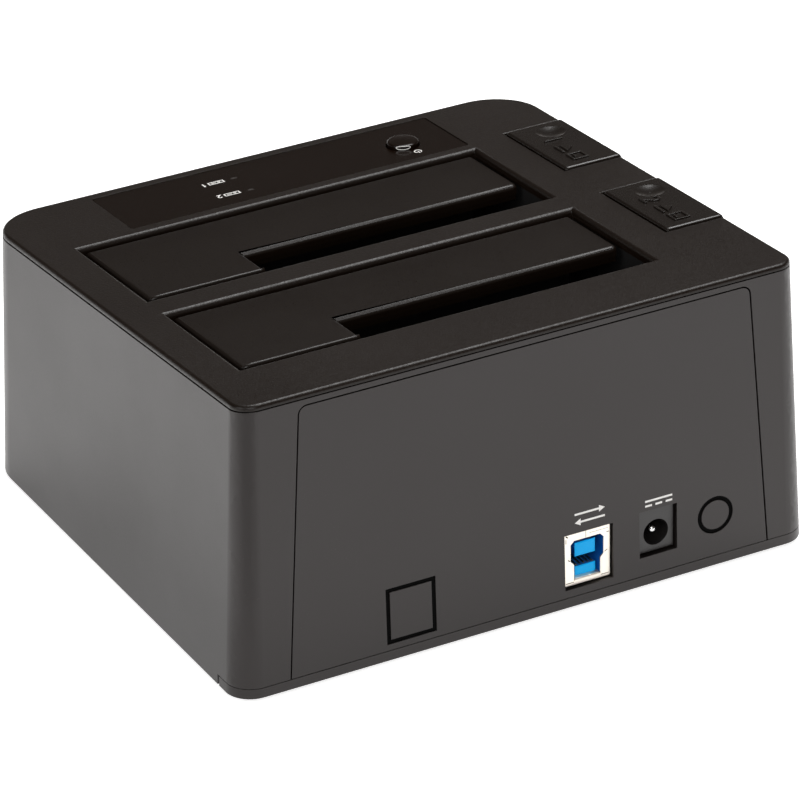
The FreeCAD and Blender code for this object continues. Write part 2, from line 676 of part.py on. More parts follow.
def make_strip():
    """Smooth inlay at the front of the top, with a lamp window for each bay."""
    half_length = d.strip_length / 2 - d.slip
    half = d.strip_width / 2 - d.slip
    strip = body("status_strip", deck=True)
    low = -d.strip_recess - d.strip_thickness
    shape = rectangle(-half_length, half_length, -d.strip_place - half, -d.strip_place + half,
                      d.strip_corner - d.slip)
    pad(strip, outline(sketch_on(strip, "XY_Plane", low), shape), d.strip_thickness)
    holes = circle(sketch_on(strip, "XY_Plane"), -d.power_x, -d.power_place, d.power_radius + 0.3)
    reach, half = d.lamp_length / 2, d.lamp_window / 2
    for v in lamp_places():
        outline(holes, rectangle(d.lamp_x - reach, d.lamp_x + reach, v - half, v + half))
    pocket(strip, holes, both=True)
    node(strip, "status_strip")
    foot = -d.control_level + 1.4
    for number, v in enumerate(lamp_places(), 1):
        name = f"light_pipe_{number}"
        shrink = size(0.03)
        stem = block(f"{name}_stem", d.lamp_x - 1.3, d.lamp_x + 1.3, v - 0.7, v + 0.7, foot, low)
        tip = block(f"{name}_tip", d.lamp_x - reach + shrink, d.lamp_x + reach - shrink,
                    v - half + shrink, v + half - shrink, low - 0.1, -d.strip_recess)
        node(fused(name, [stem, tip]), name, deck=True)
        lamp = block(f"lamp_{number}", d.lamp_x - 1.6, d.lamp_x + 1.6, v - 0.8, v + 0.8,
                     -d.control_level, -d.control_level + 1.1)
        node(lamp, f"indicator_lamp_{number}", deck=True)


def make_control_board():
    """Small board under the strip, its push switch and its screws."""
    half_x, half_v = d.control_length / 2, d.control_width / 2
    middle = -d.strip_place
    low = -d.control_level - d.board_thickness
    plate = block("control_plate", -half_x, half_x, middle - half_v, middle + half_v, low,
                  -d.control_level)
    holes = [rod(f"control_hole_{number}", "z", d.screw_radius + d.slip, d.board_thickness + 2,
                 x, v, low - 1) for number, (x, v) in enumerate(control_posts(), 1)]
    node(cut("control_board", plate, holes), "control_board", deck=True)
    x, v = -d.power_x, -d.power_place
    case = block("switch_case", x - 3, x + 3, v - 3, v + 3, -d.control_level, -d.control_level + 3.4)
    plunger = rod("switch_plunger", "z", size(1.7), size(0.5), x, v, -d.control_level + 3.4)
    node(fused("push_switch", [case, plunger]), "push_switch", deck=True)
    screws = []
    for number, (px, v) in enumerate(control_posts(), 1):
        head = rod(f"control_head_{number}", "z", d.screw_head_radius, d.screw_head, px, v,
                   low - d.screw_head)
        shank = rod(f"control_shank_{number}", "z", d.screw_radius - 0.05,
                    d.board_thickness + 4, px, v, low)
        screws.append(fused(f"control_screw_{number}", [head, shank]))
    node(group("control_screws", screws), "control_screws", deck=True)


def make_power_button():
    """Round domed button that passes through strip and cover, with a flange below."""
    button = body("power_button", deck=True)
    bottom = -d.control_level + 3.9 + d.power_travel + 0.1
    flange_top = -d.cover_plate - 0.3
    flange_low = flange_top - 0.9
    sketch = sketch_on(button, "XZ_Plane", d.power_place)
    start = -d.power_x
    side = d.power_radius
    outline(sketch, [(start, bottom), (start + 1.6, bottom), (start + 1.6, flange_low),
                     (start + side + 1, flange_low), (start + side + 1, flange_top),
                     (start + side, flange_top), (start + side, d.power_rise - 0.3, size(0.6)),
                     (start, d.power_rise)])
    ends = (FreeCAD.Vector(start.value, -1, 0), FreeCAD.Vector(start.value, 1, 0))
    axis = sketch.addGeometry(Part.LineSegment(*ends), True)
    hold(sketch, "DistanceX", start, -1, 1, axis, 1)
    sketch.addConstraint(Sketcher.Constraint("Vertical", axis))
    turn = button.newObject("PartDesign::Revolution", "power_button_turn")
    turn.Profile = sketch
    turn.ReferenceAxis = (sketch, [axis_name(sketch)])
    turn.Angle = 360
    return node(button, "power_button")


def axis_name(sketch):
    """The last construction line of a sketch, named as a feature's axis."""
    count = sum(1 for i, item in enumerate(sketch.Geometry)
                if sketch.getConstruction(i) and isinstance(item, Part.LineSegment))
    return f"Axis{count - 1}"


def well_limits(bay):
    """World y limits of a drive well, with room for the open flap at its front."""
    front = world_y(bay_middle(bay) - bay_half, d.cover_plate) - d.well_setback
    rear = world_y(bay_middle(bay) + bay_half, d.cover_plate) + well_rear_gap
    return front, rear


def socket_place(bay):
    """World place of a drive socket: the drive's edges against the well's end and rear."""
    x = bay_left + (d.bay_length - d.drive_length) / 2 + d.socket_from_side
    return x, well_limits(bay)[1] - 0.6 - d.socket_from_face


def hinge_axis(bay):
    """Deck coordinates v and w of a flap's hinge."""
    return (bay_middle(bay) - bay_half + d.flap_gap + d.hinge_inset,
            -d.flap_recess - d.hinge_drop)


def make_bay_frame():
    """The two drive wells and the button brackets beside them, as one moulding."""
    wells = body("wells")
    x_low, x_high = bay_left - d.frame_wall, bay_right + d.frame_wall
    y_low = well_limits(0)[0] - d.frame_wall
    y_high = well_limits(1)[1] + d.frame_wall
    bottom = well_floor - d.frame_floor
    whole = rectangle(x_low, x_high, y_low, y_high, size(1.5))
    pad(wells, outline(sketch_on(wells, "XY_Plane", bottom), whole), size(60))
    deck_cut = [(-FAR, deck_z(size(-FAR), d.cover_plate)), (size(FAR), deck_z(size(FAR), d.cover_plate)),
                (FAR, FAR), (-FAR, FAR)]
    pocket(wells, outline(sketch_on(wells, "YZ_Plane"), deck_cut), both=True)
    inside = sketch_on(wells, "XY_Plane", well_floor)
    for bay in (0, 1):
        front, rear = well_limits(bay)
        outline(inside, rectangle(bay_left, bay_right, front, rear))
    outline(inside, rectangle(x_low + 6, x_high - 6, well_limits(0)[1] + d.frame_wall,
                              well_limits(1)[0] - d.frame_wall))
    pocket(wells, inside, backwards=True)
    mouth = sketch_on(wells, "XY_Plane", bottom - 1)
    for bay in (0, 1):
        x, y = socket_place(bay)
        half_x, half_y = d.socket_length / 2 + 0.4, d.socket_width / 2 + 0.4
        outline(mouth, rectangle(x - half_x, x + half_x, y - half_y, y + half_y))
    pocket(wells, mouth, d.frame_floor + 2, backwards=True)
    eyes = sketch_on(wells, "YZ_Plane")
    for bay in (0, 1):
        circle(eyes, *side_point(*hinge_axis(bay)), d.hinge_pin_radius + 0.05)
    pocket(wells, eyes, both=True)
    for x, y in standoff_places():
        foot = circle(sketch_on(wells, "XY_Plane", board_top), x, y, d.standoff_radius + 1)
        pad(wells, foot, bottom - board_top)
        hole = circle(sketch_on(wells, "XY_Plane", board_top - 1), x, y, d.screw_radius + d.slip)
        pocket(wells, hole, size(10), backwards=True)
        sink = circle(sketch_on(wells, "XY_Plane", well_floor), x, y, d.screw_head_radius + d.slip)
        pocket(wells, sink, d.screw_head)
    whole = fused("wells_with_brackets", [wells, make_bracket(0), make_bracket(1)])
    return node(cut("bay_frame", whole, [lever_slots()]), "bay_frame")


def lever_slots():
    """Where the levers reach through the wells' end wall and floor."""
    slots = []
    for bay in (0, 1):
        v, w, half = lever_middle(bay), lever_pivot(bay), d.lever_width / 2 + 0.4
        slots.append(block(f"lever_slot_{bay + 1}", -d.stem_place, bay_left + 8, v - half,
                           v + half, w - 8, w + 6))
        pivot_x = -(d.stem_place - d.lever_arm)
        reach = bracket_half() + 1
        slots.append(rod(f"lever_eye_{bay + 1}", "y", d.lever_pin_radius + 0.05, 2 * reach,
                         pivot_x, v - reach, w))
    tools = fused("lever_slots", slots)
    lay_on_deck(tools)
    return tools


def make_flap(bay):
    """L-shaped lid of a bay: it leaves the slot for small drives open."""
    name = f"flap_{bay + 1}"
    flap = body(name, deck=True)
    middle = bay_middle(bay)
    left, right = bay_left + d.flap_end_gap, bay_right - d.flap_end_gap
    front, rear = middle - bay_half + d.flap_gap, middle + bay_half - d.flap_gap
    step = middle + bay_half - d.slot_width
    top, low = -d.flap_recess, -d.flap_recess - d.flap_plate

    def shape(shrink):
        return [(left + shrink, front + shrink), (right - shrink, front + shrink),
                (right - shrink, rear - shrink), (slot_end + shrink, rear - shrink),
                (slot_end + shrink, step - shrink), (left + shrink, step - shrink)]
    plate = shape(0)
    plate[5] += (d.flap_corner,)
    pad(flap, outline(sketch_on(flap, "XY_Plane", low), plate), d.flap_plate)
    round_edges(flap, d.flap_round, at_level(top))
    v, w = hinge_axis(bay)
    ribs = outline(sketch_on(flap, "XY_Plane", low), shape(0.6))
    inner = d.rib_thickness + 0.6
    outline(ribs, shape(inner))
    pad(flap, ribs, d.flap_rib, backwards=True)
    barrel = circle(sketch_on(flap, "YZ_Plane", left + 0.4), v, w, d.barrel_radius)
    pad(flap, barrel, d.bay_length - 2 * d.flap_end_gap - 0.8)
    bore = circle(sketch_on(flap, "YZ_Plane"), v, w, d.hinge_pin_radius + d.turning_gap)
    pocket(flap, bore, both=True)
    notch_low, notch_high = d.spring_place, d.spring_place + d.spring_notch
    gap = sketch_on(flap, "XY_Plane", w + d.barrel_radius + 0.1)
    outline(gap, rectangle(notch_low, notch_high, front - 5, v + d.barrel_radius + 0.6))
    pocket(flap, gap, size(8))
    return node(flap, name)


def make_hinge_pin(bay):
    """Steel pin through the flap's barrel and both end walls of the frame."""
    v, w = hinge_axis(bay)
    length = d.bay_length + 2 * d.frame_wall + 1
    name = f"flap_pin_{bay + 1}"
    pin = rod(f"{name}_rod", "x", d.hinge_pin_radius, length, bay_left - d.frame_wall - 0.5, v, w)
    return node(pin, name, deck=True)


def coil(label, radius, wire, turns, height):
    """A closed coil spring about the z axis; its round wire has a six-sided section."""
    helix = doc.addObject("Part::Helix", f"{label}_path")
    bind(helix, Radius=radius, Height=height, Pitch=size(height) / turns)
    section = doc.addObject("Part::RegularPolygon", f"{label}_section")
    section.Polygon = 6
    upright = FreeCAD.Rotation(FreeCAD.Vector(1, 0, 0), 90)
    section.Placement = FreeCAD.Placement(FreeCAD.Vector(), upright)
    bind(section, Circumradius=wire, Placement__Base__x=radius)
    sweep = doc.addObject("Part::Sweep", label)
    sweep.Sections = [section]
    sweep.Spine = (helix, [])
    sweep.Solid = True
    sweep.Frenet = True
    doc.recompute()
    return sweep


def make_lever(bay):
    """Rocker: the button pushes its outer arm down, its inner arm lifts the drive."""
    name = f"eject_lever_{bay + 1}"
    v, w = lever_middle(bay), lever_pivot(bay)
    pivot_x = -(d.stem_place - d.lever_arm)
    low, half = v - d.lever_width / 2, d.lever_thickness / 2
    lever = body(name, deck=True)
    rise = turned("sin", math.sin, d.lever_tilt)
    run = turned("cos", math.cos, d.lever_tilt)
    out_x, out_w = pivot_x - d.lever_arm * run, w + d.lever_arm * rise
    in_x, in_w = pivot_x + d.lift_arm * run, w - d.lift_arm * rise
    across_x, across_w = half * rise, half * run
    side = sketch_on(lever, "XZ_Plane", -low)
    outline(side, [(out_x - across_x, out_w - across_w), (in_x - across_x, in_w - across_w),
                   (in_x + across_x, in_w + across_w), (out_x + across_x, out_w + across_w)])
    pad(lever, side, d.lever_width, backwards=True)
    for x, level, radius in ((out_x, out_w, half), (in_x, in_w, half), (pivot_x, w, d.hub_radius)):
        pad(lever, circle(sketch_on(lever, "XZ_Plane", -low), x, level, radius), d.lever_width,
            backwards=True)
    bore = circle(sketch_on(lever, "XZ_Plane"), pivot_x, w, d.lever_pin_radius + d.turning_gap)
    pocket(lever, bore, both=True)
    return node(lever, name)


def bracket_half():
    """Half the distance between the outer faces of the lever lugs."""
    return d.lever_width / 2 + 0.4 + d.bracket_wall


def make_bracket(bay):
    """Carrier on the wells' end wall: guides a button's stem and holds its lever's pin."""
    bracket = body(f"bracket_{bay + 1}", deck=True)
    middle, lever_v, w = button_middle(bay), lever_middle(bay), lever_pivot(bay)
    wall = bay_left - d.frame_wall + 0.5
    front = middle - d.button_width / 2 + 3
    rear = lever_v + bracket_half()
    reach = -(d.stem_place + 3.4)
    shelf = rectangle(reach, wall, front, rear)
    pad(bracket, outline(sketch_on(bracket, "XY_Plane", -d.shelf_depth), shelf), d.bracket_wall,
        backwards=True)
    pivot_x = -(d.stem_place - d.lever_arm)
    for side in (-1, 1):
        inner = lever_v + side * (d.lever_width / 2 + 0.4)
        outer = lever_v + side * bracket_half()
        low, high = (outer, inner) if side < 0 else (inner, outer)
        lug = rectangle(pivot_x - 3.4, wall, low, high)
        level = w - 3.4
        height = -d.shelf_depth - d.bracket_wall / 2 - level
        pad(bracket, outline(sketch_on(bracket, "XY_Plane", level), lug), height)
    stem = circle(sketch_on(bracket, "XY_Plane"), -d.stem_place, stem_middle(bay),
                  d.stem_radius + 0.2)
    pocket(bracket, stem, both=True)
    return bracket


def stem_middle(bay):
    """Deck coordinate v of a button's stem, over the front part of its lever."""
    return lever_middle(bay) - d.stem_shift


def make_lever_pin(bay):
    """Pivot pin of an eject lever, held in the bracket's lugs."""
    name = f"lever_pin_{bay + 1}"
    half = bracket_half() + 0.4
    pin = rod(f"{name}_rod", "y", d.lever_pin_radius, 2 * half, -(d.stem_place - d.lever_arm),
              lever_middle(bay) - half, lever_pivot(bay))
    return node(pin, name, deck=True)


def make_button(bay):
    """Eject button: wraps over the casing's edge, with a curtain that closes its notch."""
    name = f"eject_button_{bay + 1}"
    button = body(name, deck=True)
    middle = button_middle(bay)
    front = middle - d.button_width / 2 + d.button_gap
    width = d.button_width - 2 * d.button_gap
    lean = turned("tan", math.tan, d.side_draft)
    world = deck_z(world_y(middle)) - casing_floor
    face = d.body_length / 2 - world * lean
    inner = -d.button_inner - d.button_gap
    top = d.button_rise
    curtain = face - d.casing_wall - 0.4
    plate_low = top - d.button_plate
    low = -d.button_face
    profile = [(inner, plate_low), (-curtain + d.curtain_thickness, plate_low),
               (-curtain + d.curtain_thickness, -d.curtain_depth), (-curtain, -d.curtain_depth),
               (-curtain, low), (-face + low * lean, low), (-face + top * lean, top), (inner, top)]
    pad(button, outline(sketch_on(button, "XZ_Plane", -front), profile), width, backwards=True)
    round_edges(button, d.button_round, at_level(top))
    ends = rectangle(inner, -curtain + d.curtain_thickness + 0.2, plate_low - 3.5, plate_low + 0.2)
    for start in (front, front + width - d.curtain_thickness):
        pad(button, outline(sketch_on(button, "XZ_Plane", -start), ends), d.curtain_thickness,
            backwards=True)
    tip = lever_pivot(bay) + d.lever_arm * turned("sin", math.sin, d.lever_tilt)
    stem_low = tip + d.lever_thickness / 2 + 0.15
    stem = circle(sketch_on(button, "XY_Plane", stem_low), -d.stem_place, stem_middle(bay),
                  d.stem_radius)
    pad(button, stem, plate_low + 0.2 - stem_low)
    round_edges(button, d.stem_radius - 0.1, at_level(stem_low))
    dimple = button.newObject("PartDesign::SubtractiveEllipsoid", f"{name}_dimple")
    dimple.Angle1, dimple.Angle2, dimple.Angle3 = -90, 90, 360
    bind(dimple, Radius1=d.dimple_rise + d.dimple_depth, Radius2=d.dimple_radius,
         Radius3=d.dimple_radius, Placement__Base__x=-d.stem_place - 1.7,
         Placement__Base__y=middle - 8.2, Placement__Base__z=top + d.dimple_rise)
    return node(button, name)


def make_springs(bay):
    """The flap's torsion spring round its pin, and the button's return spring."""
    v, w = hinge_axis(bay)
    name = f"flap_spring_{bay + 1}"
    spring = coil(f"{name}_coil", d.hinge_pin_radius + 0.45, d.coil_wire, 6, size(4.2))
    spring.Placement = FreeCAD.Placement(FreeCAD.Vector(), FreeCAD.Rotation(FreeCAD.Vector(0, 1, 0), 90))
    bind(spring, Placement__Base__x=d.spring_place + 2.4, Placement__Base__y=v,
         Placement__Base__z=w)
    node(spring, name, deck=True)
    low = -d.shelf_depth + d.return_wire + 0.02
    high = d.button_rise - d.button_plate - d.return_wire - 0.02
    name = f"return_spring_{bay + 1}"
    radius = d.stem_radius + d.return_wire + d.slip
    spring = coil(f"{name}_coil", radius, d.return_wire, 6, high - low)
    bind(spring, Placement__Base__x=-d.stem_place, Placement__Base__y=stem_middle(bay),
         Placement__Base__z=low)
    node(spring, name, deck=True)


def make_main_board():
    """Main board, drive sockets and the parts that stand on it."""
    half = d.board_length / 2
    plate = block("board_plate", -half, half, -d.board_front, d.board_rear, board_bottom, board_top)
    holes = [rod(f"board_hole_{number}", "z", d.screw_radius + d.slip, d.board_thickness + 2, x, y, board_bottom - 1)
             for number, (x, y) in enumerate(standoff_places() + board_screw_places(), 1)]
    node(cut("main_board", plate, holes), "main_board")
    for bay in (0, 1):
        make_socket(bay)
    across, rear = d.board_length / 2, d.board_rear
    apart = across * d.regulator_share
    chip = block("bridge_chip", -8, -8 + d.bridge_side, rear - 45.5, rear - 45.5 + d.bridge_side,
                 board_top, board_top + d.bridge_height)
    node(chip, "bridge_chip")
    small = [block(f"regulator_{n}", x, x + d.regulator_length, y, y + d.regulator_width,
                   board_top, board_top + d.regulator_height)
             for n, (x, y) in enumerate(((17 - across, rear - 43.5), (-apart, rear - 42.5),
                                         (apart, rear - 41.5)), 1)]
    node(group("regulator_chips", small), "regulator_chips")
    coils = [block(f"inductor_{n}", x, x + d.inductor_side, y, y + d.inductor_side,
                   board_bottom - d.inductor_height, board_bottom)
             for n, (x, y) in enumerate(((7 - across, rear - 27.5), (13 - across, rear - 43.5),
                                         (across - 25, rear - 31.5)), 1)]
    node(group("inductors", coils), "inductors")
    cans = []
    side = d.can_radius + d.slip
    for n, (x, y) in enumerate(((21 - across, rear - 17.5), (21 - across, rear - 27.5),
                                (across - 43, rear - 15.5), (across - 35, rear - 15.5)), 1):
        can = rod(f"capacitor_can_{n}", "z", d.can_radius, d.can_height - 0.2, x, y,
                  board_bottom - d.can_height)
        foot = block(f"capacitor_foot_{n}", x - side, x + side, y - side, y + side,
                     board_bottom - d.can_foot, board_bottom)
        cans.append(fused(f"capacitor_{n}", [can, foot]))
    node(group("capacitors", cans), "capacitors")
    node(block("crystal", 8, 8 + d.crystal_length, rear - 41.5, rear - 41.5 + d.crystal_width,
               board_top, board_top + d.crystal_height), "crystal")


def make_socket(bay):
    """A 22-way drive socket, the two tongue slots in its top, and its contacts."""
    x, y = socket_place(bay)
    half_x, half_y = d.socket_length / 2, d.socket_width / 2
    top = board_top + d.socket_height
    name = f"drive_socket_{bay + 1}"
    case = block(f"{name}_case", x - half_x, x + half_x, y - half_y, y + half_y, board_top, top)
    slots = [block(f"{name}_slot_{n}", x + low, x + high, y - 0.75, y + 0.75, top - 6, top + 1)
             for n, (low, high) in enumerate(((-16.4, 5.2), (6.9, 16.4)), 1)]
    node(cut(name, case, slots), name)
    pitch = 1.27
    contacts = []
    for start, count in ((-14.9, 15), (8.0, 7)):
        for number in range(count):
            low = x + start + number * pitch
            contacts.append(block(f"{name}_contact", low, low + 0.6, y + 0.5, y + 0.75,
                                  top - 5.6, top - 0.8))
    node(group(f"drive_contacts_{bay + 1}", contacts), f"drive_contacts_{bay + 1}")


def make_usb():
    """Type-B receptacle, hung under the board: metal shell, insert and contacts."""
    shell = body("usb_shell")
    x, level = -d.usb_x, casing_floor + d.usb_level
    half_x, half_z = d.usb_width / 2, d.usb_height / 2
    lean = turned("tan", math.tan, d.end_draft)
    face = d.body_depth / 2 - d.usb_level * lean - d.port_recess - d.panel_inset
    back = face - d.usb_depth
    whole = rectangle(x - half_x, x + half_x, level - half_z, level + half_z, size(0.5))
    pad(shell, outline(sketch_on(shell, "XZ_Plane", -face), whole), d.usb_depth)
    inner = rectangle(x - half_x + d.usb_wall, x + half_x - d.usb_wall,
                      level - half_z + d.usb_wall, level + half_z - d.usb_wall)
    pocket(shell, outline(sketch_on(shell, "XZ_Plane", -face + d.usb_wall), inner), backwards=True)
    pocket(shell, outline(sketch_on(shell, "XZ_Plane"), usb_mouth(x, level)), both=True)
    legs = sketch_on(shell, "XY_Plane", level + half_z - 0.2)
    for leg_x in (x - half_x + 1, x + half_x - 2):
        for leg_y in (back + 3, back + 10):
            outline(legs, rectangle(leg_x, leg_x + 1, leg_y, leg_y + 2))
    pad(shell, legs, board_bottom - level - half_z + 0.2)
    node(shell, "usb_shell")
    insert = body("usb_insert")
    fit = d.usb_wall + 0.05
    block_shape = rectangle(x - half_x + fit, x + half_x - fit, level - half_z + fit, level + half_z - fit)
    pad(insert, outline(sketch_on(insert, "XZ_Plane", -back), block_shape),
        d.usb_depth - fit, backwards=True)
    cavity = sketch_on(insert, "XZ_Plane", -face)
    pocket(insert, outline(cavity, usb_mouth(x, level)), size(9), backwards=True)
    root = face - 9.1
    for low, high, wide in ((-0.1, 3.4, 2.65), (-5.3, -2.65, 2.7)):
        tongue = rectangle(x - wide, x + wide, level + low, level + high)
        pad(insert, outline(sketch_on(insert, "XZ_Plane", -root), tongue), size(8.0), backwards=True)
    node(insert, "usb_insert")
    pins = []
    for n, (offset, z) in enumerate(((-1.25, 3.4), (1.25, 3.4), (-1.25, -0.3), (1.25, -0.3)), 1):
        pins.append(block(f"usb_pin_{n}", x + offset - 0.4, x + offset + 0.4, face - 8, face - 1.6,
                          level + z, level + z + 0.2))
    for n in range(5):
        offset = n - 2
        pins.append(block(f"usb_fast_pin_{n}", x + offset - 0.25, x + offset + 0.25, face - 8,
                          face - 1.6, level - 2.65, level - 2.45))
    node(group("usb_contacts", pins), "usb_contacts")


def usb_mouth(x, level):
    """The opening of a type-B receptacle: wide half above, narrower half below."""
    wide, narrow = size(4.25), size(3.4)
    top, waist, low = level + 4.65, level - 0.5, level - 5.55
    return [(x - narrow, low), (x + narrow, low), (x + narrow, waist - 0.9), (x + wide, waist),
            (x + wide, top - 0.9), (x + wide - 0.9, top), (x - wide + 0.9, top),
            (x - wide, top - 0.9), (x - wide, waist), (x - narrow, waist - 0.9)]


def make_jack():
    """DC inlet, hung under the board: square body with a round bore and a centre pin."""
    x, level = -d.jack_x, casing_floor + d.jack_level
    half_x, half_z = d.jack_width / 2, d.jack_height / 2
    lean = turned("tan", math.tan, d.end_draft)
    face = d.body_depth / 2 - d.jack_level * lean - d.jack_recess - d.panel_inset
    case = block("jack_case", x - half_x, x + half_x, face - d.jack_depth, face,
                 level - half_z, board_bottom)
    bore_z = casing_floor + d.jack_bore_level
    bore = rod("jack_bore", "y", d.jack_bore, size(11), x, face - 10, bore_z)
    node(cut("jack_body", case, [bore]), "jack_body")
    pin = rod("centre_pin", "y", d.jack_pin_radius, size(9), x, face - 10, bore_z)
    node(pin, "jack_pin")


def make_ribbon():
    """Flat cable from the main board up to the control board, with a socket at each end."""
    x, y = d.cable_x, d.cable_margin - half_depth
    v = y / slope_cos - (d.control_level + d.board_thickness) * slope_tan
    low = -d.control_level - d.board_thickness
    half_x, half_y, tall = d.cable_socket_length / 2, d.cable_socket_width / 2, d.cable_socket_height
    head_y, head_z = side_point(v, low - tall)
    lower = block("cable_socket_low", x - half_x, x + half_x, y - half_y, y + half_y,
                  board_top, board_top + tall)
    upper = block("cable_socket_high", x - half_x, x + half_x, v - half_y, v + half_y, low - tall, low)
    held = group("cable_socket_held", [upper])
    lay_on_deck(held)
    node(group("ribbon_sockets", [lower, held]), "ribbon_sockets")
    cable = body("ribbon_cable")
    sketch = sketch_on(cable, "YZ_Plane", x - d.cable_width / 2)
    foot = board_top + tall
    rise = head_z - 0.05 - foot
    path = [(y, foot), (y, foot + rise * 0.15), (y - d.cable_sag, foot + rise * 0.33),
            (y - d.cable_sag, foot + rise * 0.7), (head_y, foot + rise * 0.86), (head_y, foot + rise)]
    outline(sketch, path + [(side + d.cable_thickness, level) for side, level in reversed(path)])
    pad(cable, sketch, d.cable_width)
    node(cable, "ribbon_cable")


def make_screws():
    """Pan-head screws: base to shell, board to base, frame through the board to the base."""
    sets = {"base_screws": [], "board_screws": [], "frame_screws": []}
    for n, (x, y) in enumerate(post_places(), 1):
        low = casing_floor + 0.1
        head = rod(f"base_head_{n}", "z", d.screw_head_radius, d.screw_head - 0.1, x, y, low)
        shank = rod(f"base_shank_{n}", "z", d.screw_radius - 0.05, 8, x, y, low + d.screw_head - 0.1)
        sets["base_screws"].append(fused(f"base_screw_{n}", [head, shank]))
    for name, places, seat in (("board_screws", board_screw_places(), board_top),
                               ("frame_screws", standoff_places(), well_floor - d.screw_head)):
        for n, (x, y) in enumerate(places, 1):
            head = rod(f"{name}_head_{n}", "z", d.screw_head_radius, d.screw_head - 0.1, x, y, seat)
            depth = seat - board_bottom + 8
            shank = rod(f"{name}_shank_{n}", "z", d.screw_radius - 0.05, depth, x, y, seat - depth)
            sets[name].append(fused(f"{name}_{n}", [head, shank]))
    for name, screws in sets.items():
        node(group(name, screws), name)


def make_feet():
    """Rubber feet, each seated in a shallow round recess of the base."""
    for number, (x, y) in enumerate(foot_places(), 1):
        name = f"foot_{number}"
        disc = rod(f"{name}_disc", "z", d.foot_radius, d.foot_height + d.foot_seat, x, y, 0)
        foot = doc.addObject("Part::Fillet", name)
        foot.Base = disc
        doc.recompute()
        edges = [i for i, edge in enumerate(disc.Shape.Edges, 1)
                 if edge.Closed and abs(edge.CenterOfMass.z) < 1e-4]
        foot.Edges = [(i, 0.6, 0.6) for i in edges]
        node(foot, name)


def check_and_write():
    """Stops at any failed feature, then writes one file for each node."""
    doc.recompute()
    failed = [f"{item.Name} {item.State}" for item in doc.Objects
              if {"Invalid", "Error"} & set(item.State)]
    if failed:
        raise RuntimeError("failed features: " + ", ".join(failed))
    os.makedirs("parts", exist_ok=True)
    for made in NODES:
        shape = made.Shape
        if shape.isNull() or not shape.isValid() or not shape.Solids:
            raise RuntimeError(f"{made.Label} has no sound solid")
        shape.exportStep(os.path.join("parts", f"{made.Label}.step"))
        print(f"{made.Label:20s} solids {len(shape.Solids):2d}  volume {shape.Volume:10.1f}")


make_main_shell()
make_rear_panel()
make_base_plate()
make_top_cover()
make_strip()
make_control_board()
make_power_button()
make_bay_frame()
for number in (0, 1):
    make_flap(number)
    make_hinge_pin(number)
    make_lever(number)
    make_lever_pin(number)
    make_button(number)
    make_springs(number)
make_main_board()
make_ribbon()
make_usb()
make_jack()
make_screws()
make_feet()
check_and_write()
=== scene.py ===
# %% [markdown]
# # A docking station for two bare drives
#
# The real object is a low black box with a sloping lid. Two long openings in the lid take bare
# drives, and each is closed by a sprung flap that leaves a slot open for small drives. This
# lesson dresses the solid model: it softens its edges, makes the small pieces that the solids
# only suggest, and gives every piece a finish made of nodes.

import json
import math

import bmesh
import bpy
import numpy as np
from mathutils import Matrix, Vector
from mathutils.bvhtree import BVHTree


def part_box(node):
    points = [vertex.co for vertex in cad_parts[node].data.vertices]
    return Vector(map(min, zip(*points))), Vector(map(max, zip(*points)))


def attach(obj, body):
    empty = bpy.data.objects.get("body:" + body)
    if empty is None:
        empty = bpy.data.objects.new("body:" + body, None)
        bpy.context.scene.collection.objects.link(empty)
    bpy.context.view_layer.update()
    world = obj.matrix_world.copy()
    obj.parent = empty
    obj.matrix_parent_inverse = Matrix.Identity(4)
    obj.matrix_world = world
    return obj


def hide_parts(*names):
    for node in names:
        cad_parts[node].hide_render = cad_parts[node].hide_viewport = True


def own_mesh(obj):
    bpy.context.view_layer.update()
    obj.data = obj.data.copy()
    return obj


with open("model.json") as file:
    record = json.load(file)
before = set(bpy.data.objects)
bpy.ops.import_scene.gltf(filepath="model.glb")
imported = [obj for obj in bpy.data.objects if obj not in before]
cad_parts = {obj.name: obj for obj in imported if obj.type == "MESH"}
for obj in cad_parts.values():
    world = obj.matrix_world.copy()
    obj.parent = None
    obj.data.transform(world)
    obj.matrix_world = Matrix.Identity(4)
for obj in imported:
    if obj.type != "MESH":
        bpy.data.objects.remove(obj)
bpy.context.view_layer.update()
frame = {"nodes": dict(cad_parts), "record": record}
nodes = frame["nodes"]
record = frame["record"]
bodies = record["behaviour"]["bodies"]
body_of_node = {node: body for body, members in bodies.items() for node in members}
slot_of_node = {row["node"]: row["material_slot"] for row in record["subparts"]}

# %% [markdown]
# ## Places on the sloping lid and on the rear wall
#
# The lid slopes down towards the front by 4.2 degrees, so marks and buttons are easiest to place
# in the lid's own frame: x along the slots, v up the slope and w square to it. Lengths in this
# lesson are written in millimetres, as on a drawing, and turned to metres in one place. Marks
# must lie on the plastic, so the surface is looked up in the solid itself: the widest flat that
# looks along a given direction.

# %% The lid's frame
MM = 0.001
SLOPE = math.radians(4.2)
LID_MIDDLE = 67.7814
SAME_WAY = 0.99


def on_lid(points):
    """Lid frame to world: y = v cos s - w sin s, z = middle + v sin s + w cos s, in metres."""
    x, v, w = np.moveaxis(np.asarray(points, float), -1, 0)
    y = v * math.cos(SLOPE) - w * math.sin(SLOPE)
    z = LID_MIDDLE + v * math.sin(SLOPE) + w * math.cos(SLOPE)
    return np.stack([x, y, z], -1) * MM


def to_lid(x, y, z):
    """World to lid frame, both in mm: the inverse of on_lid."""
    rise = z - LID_MIDDLE
    return (x, y * math.cos(SLOPE) + rise * math.sin(SLOPE),
            rise * math.cos(SLOPE) - y * math.sin(SLOPE))

# %% Flats of the solids, and the rear panel


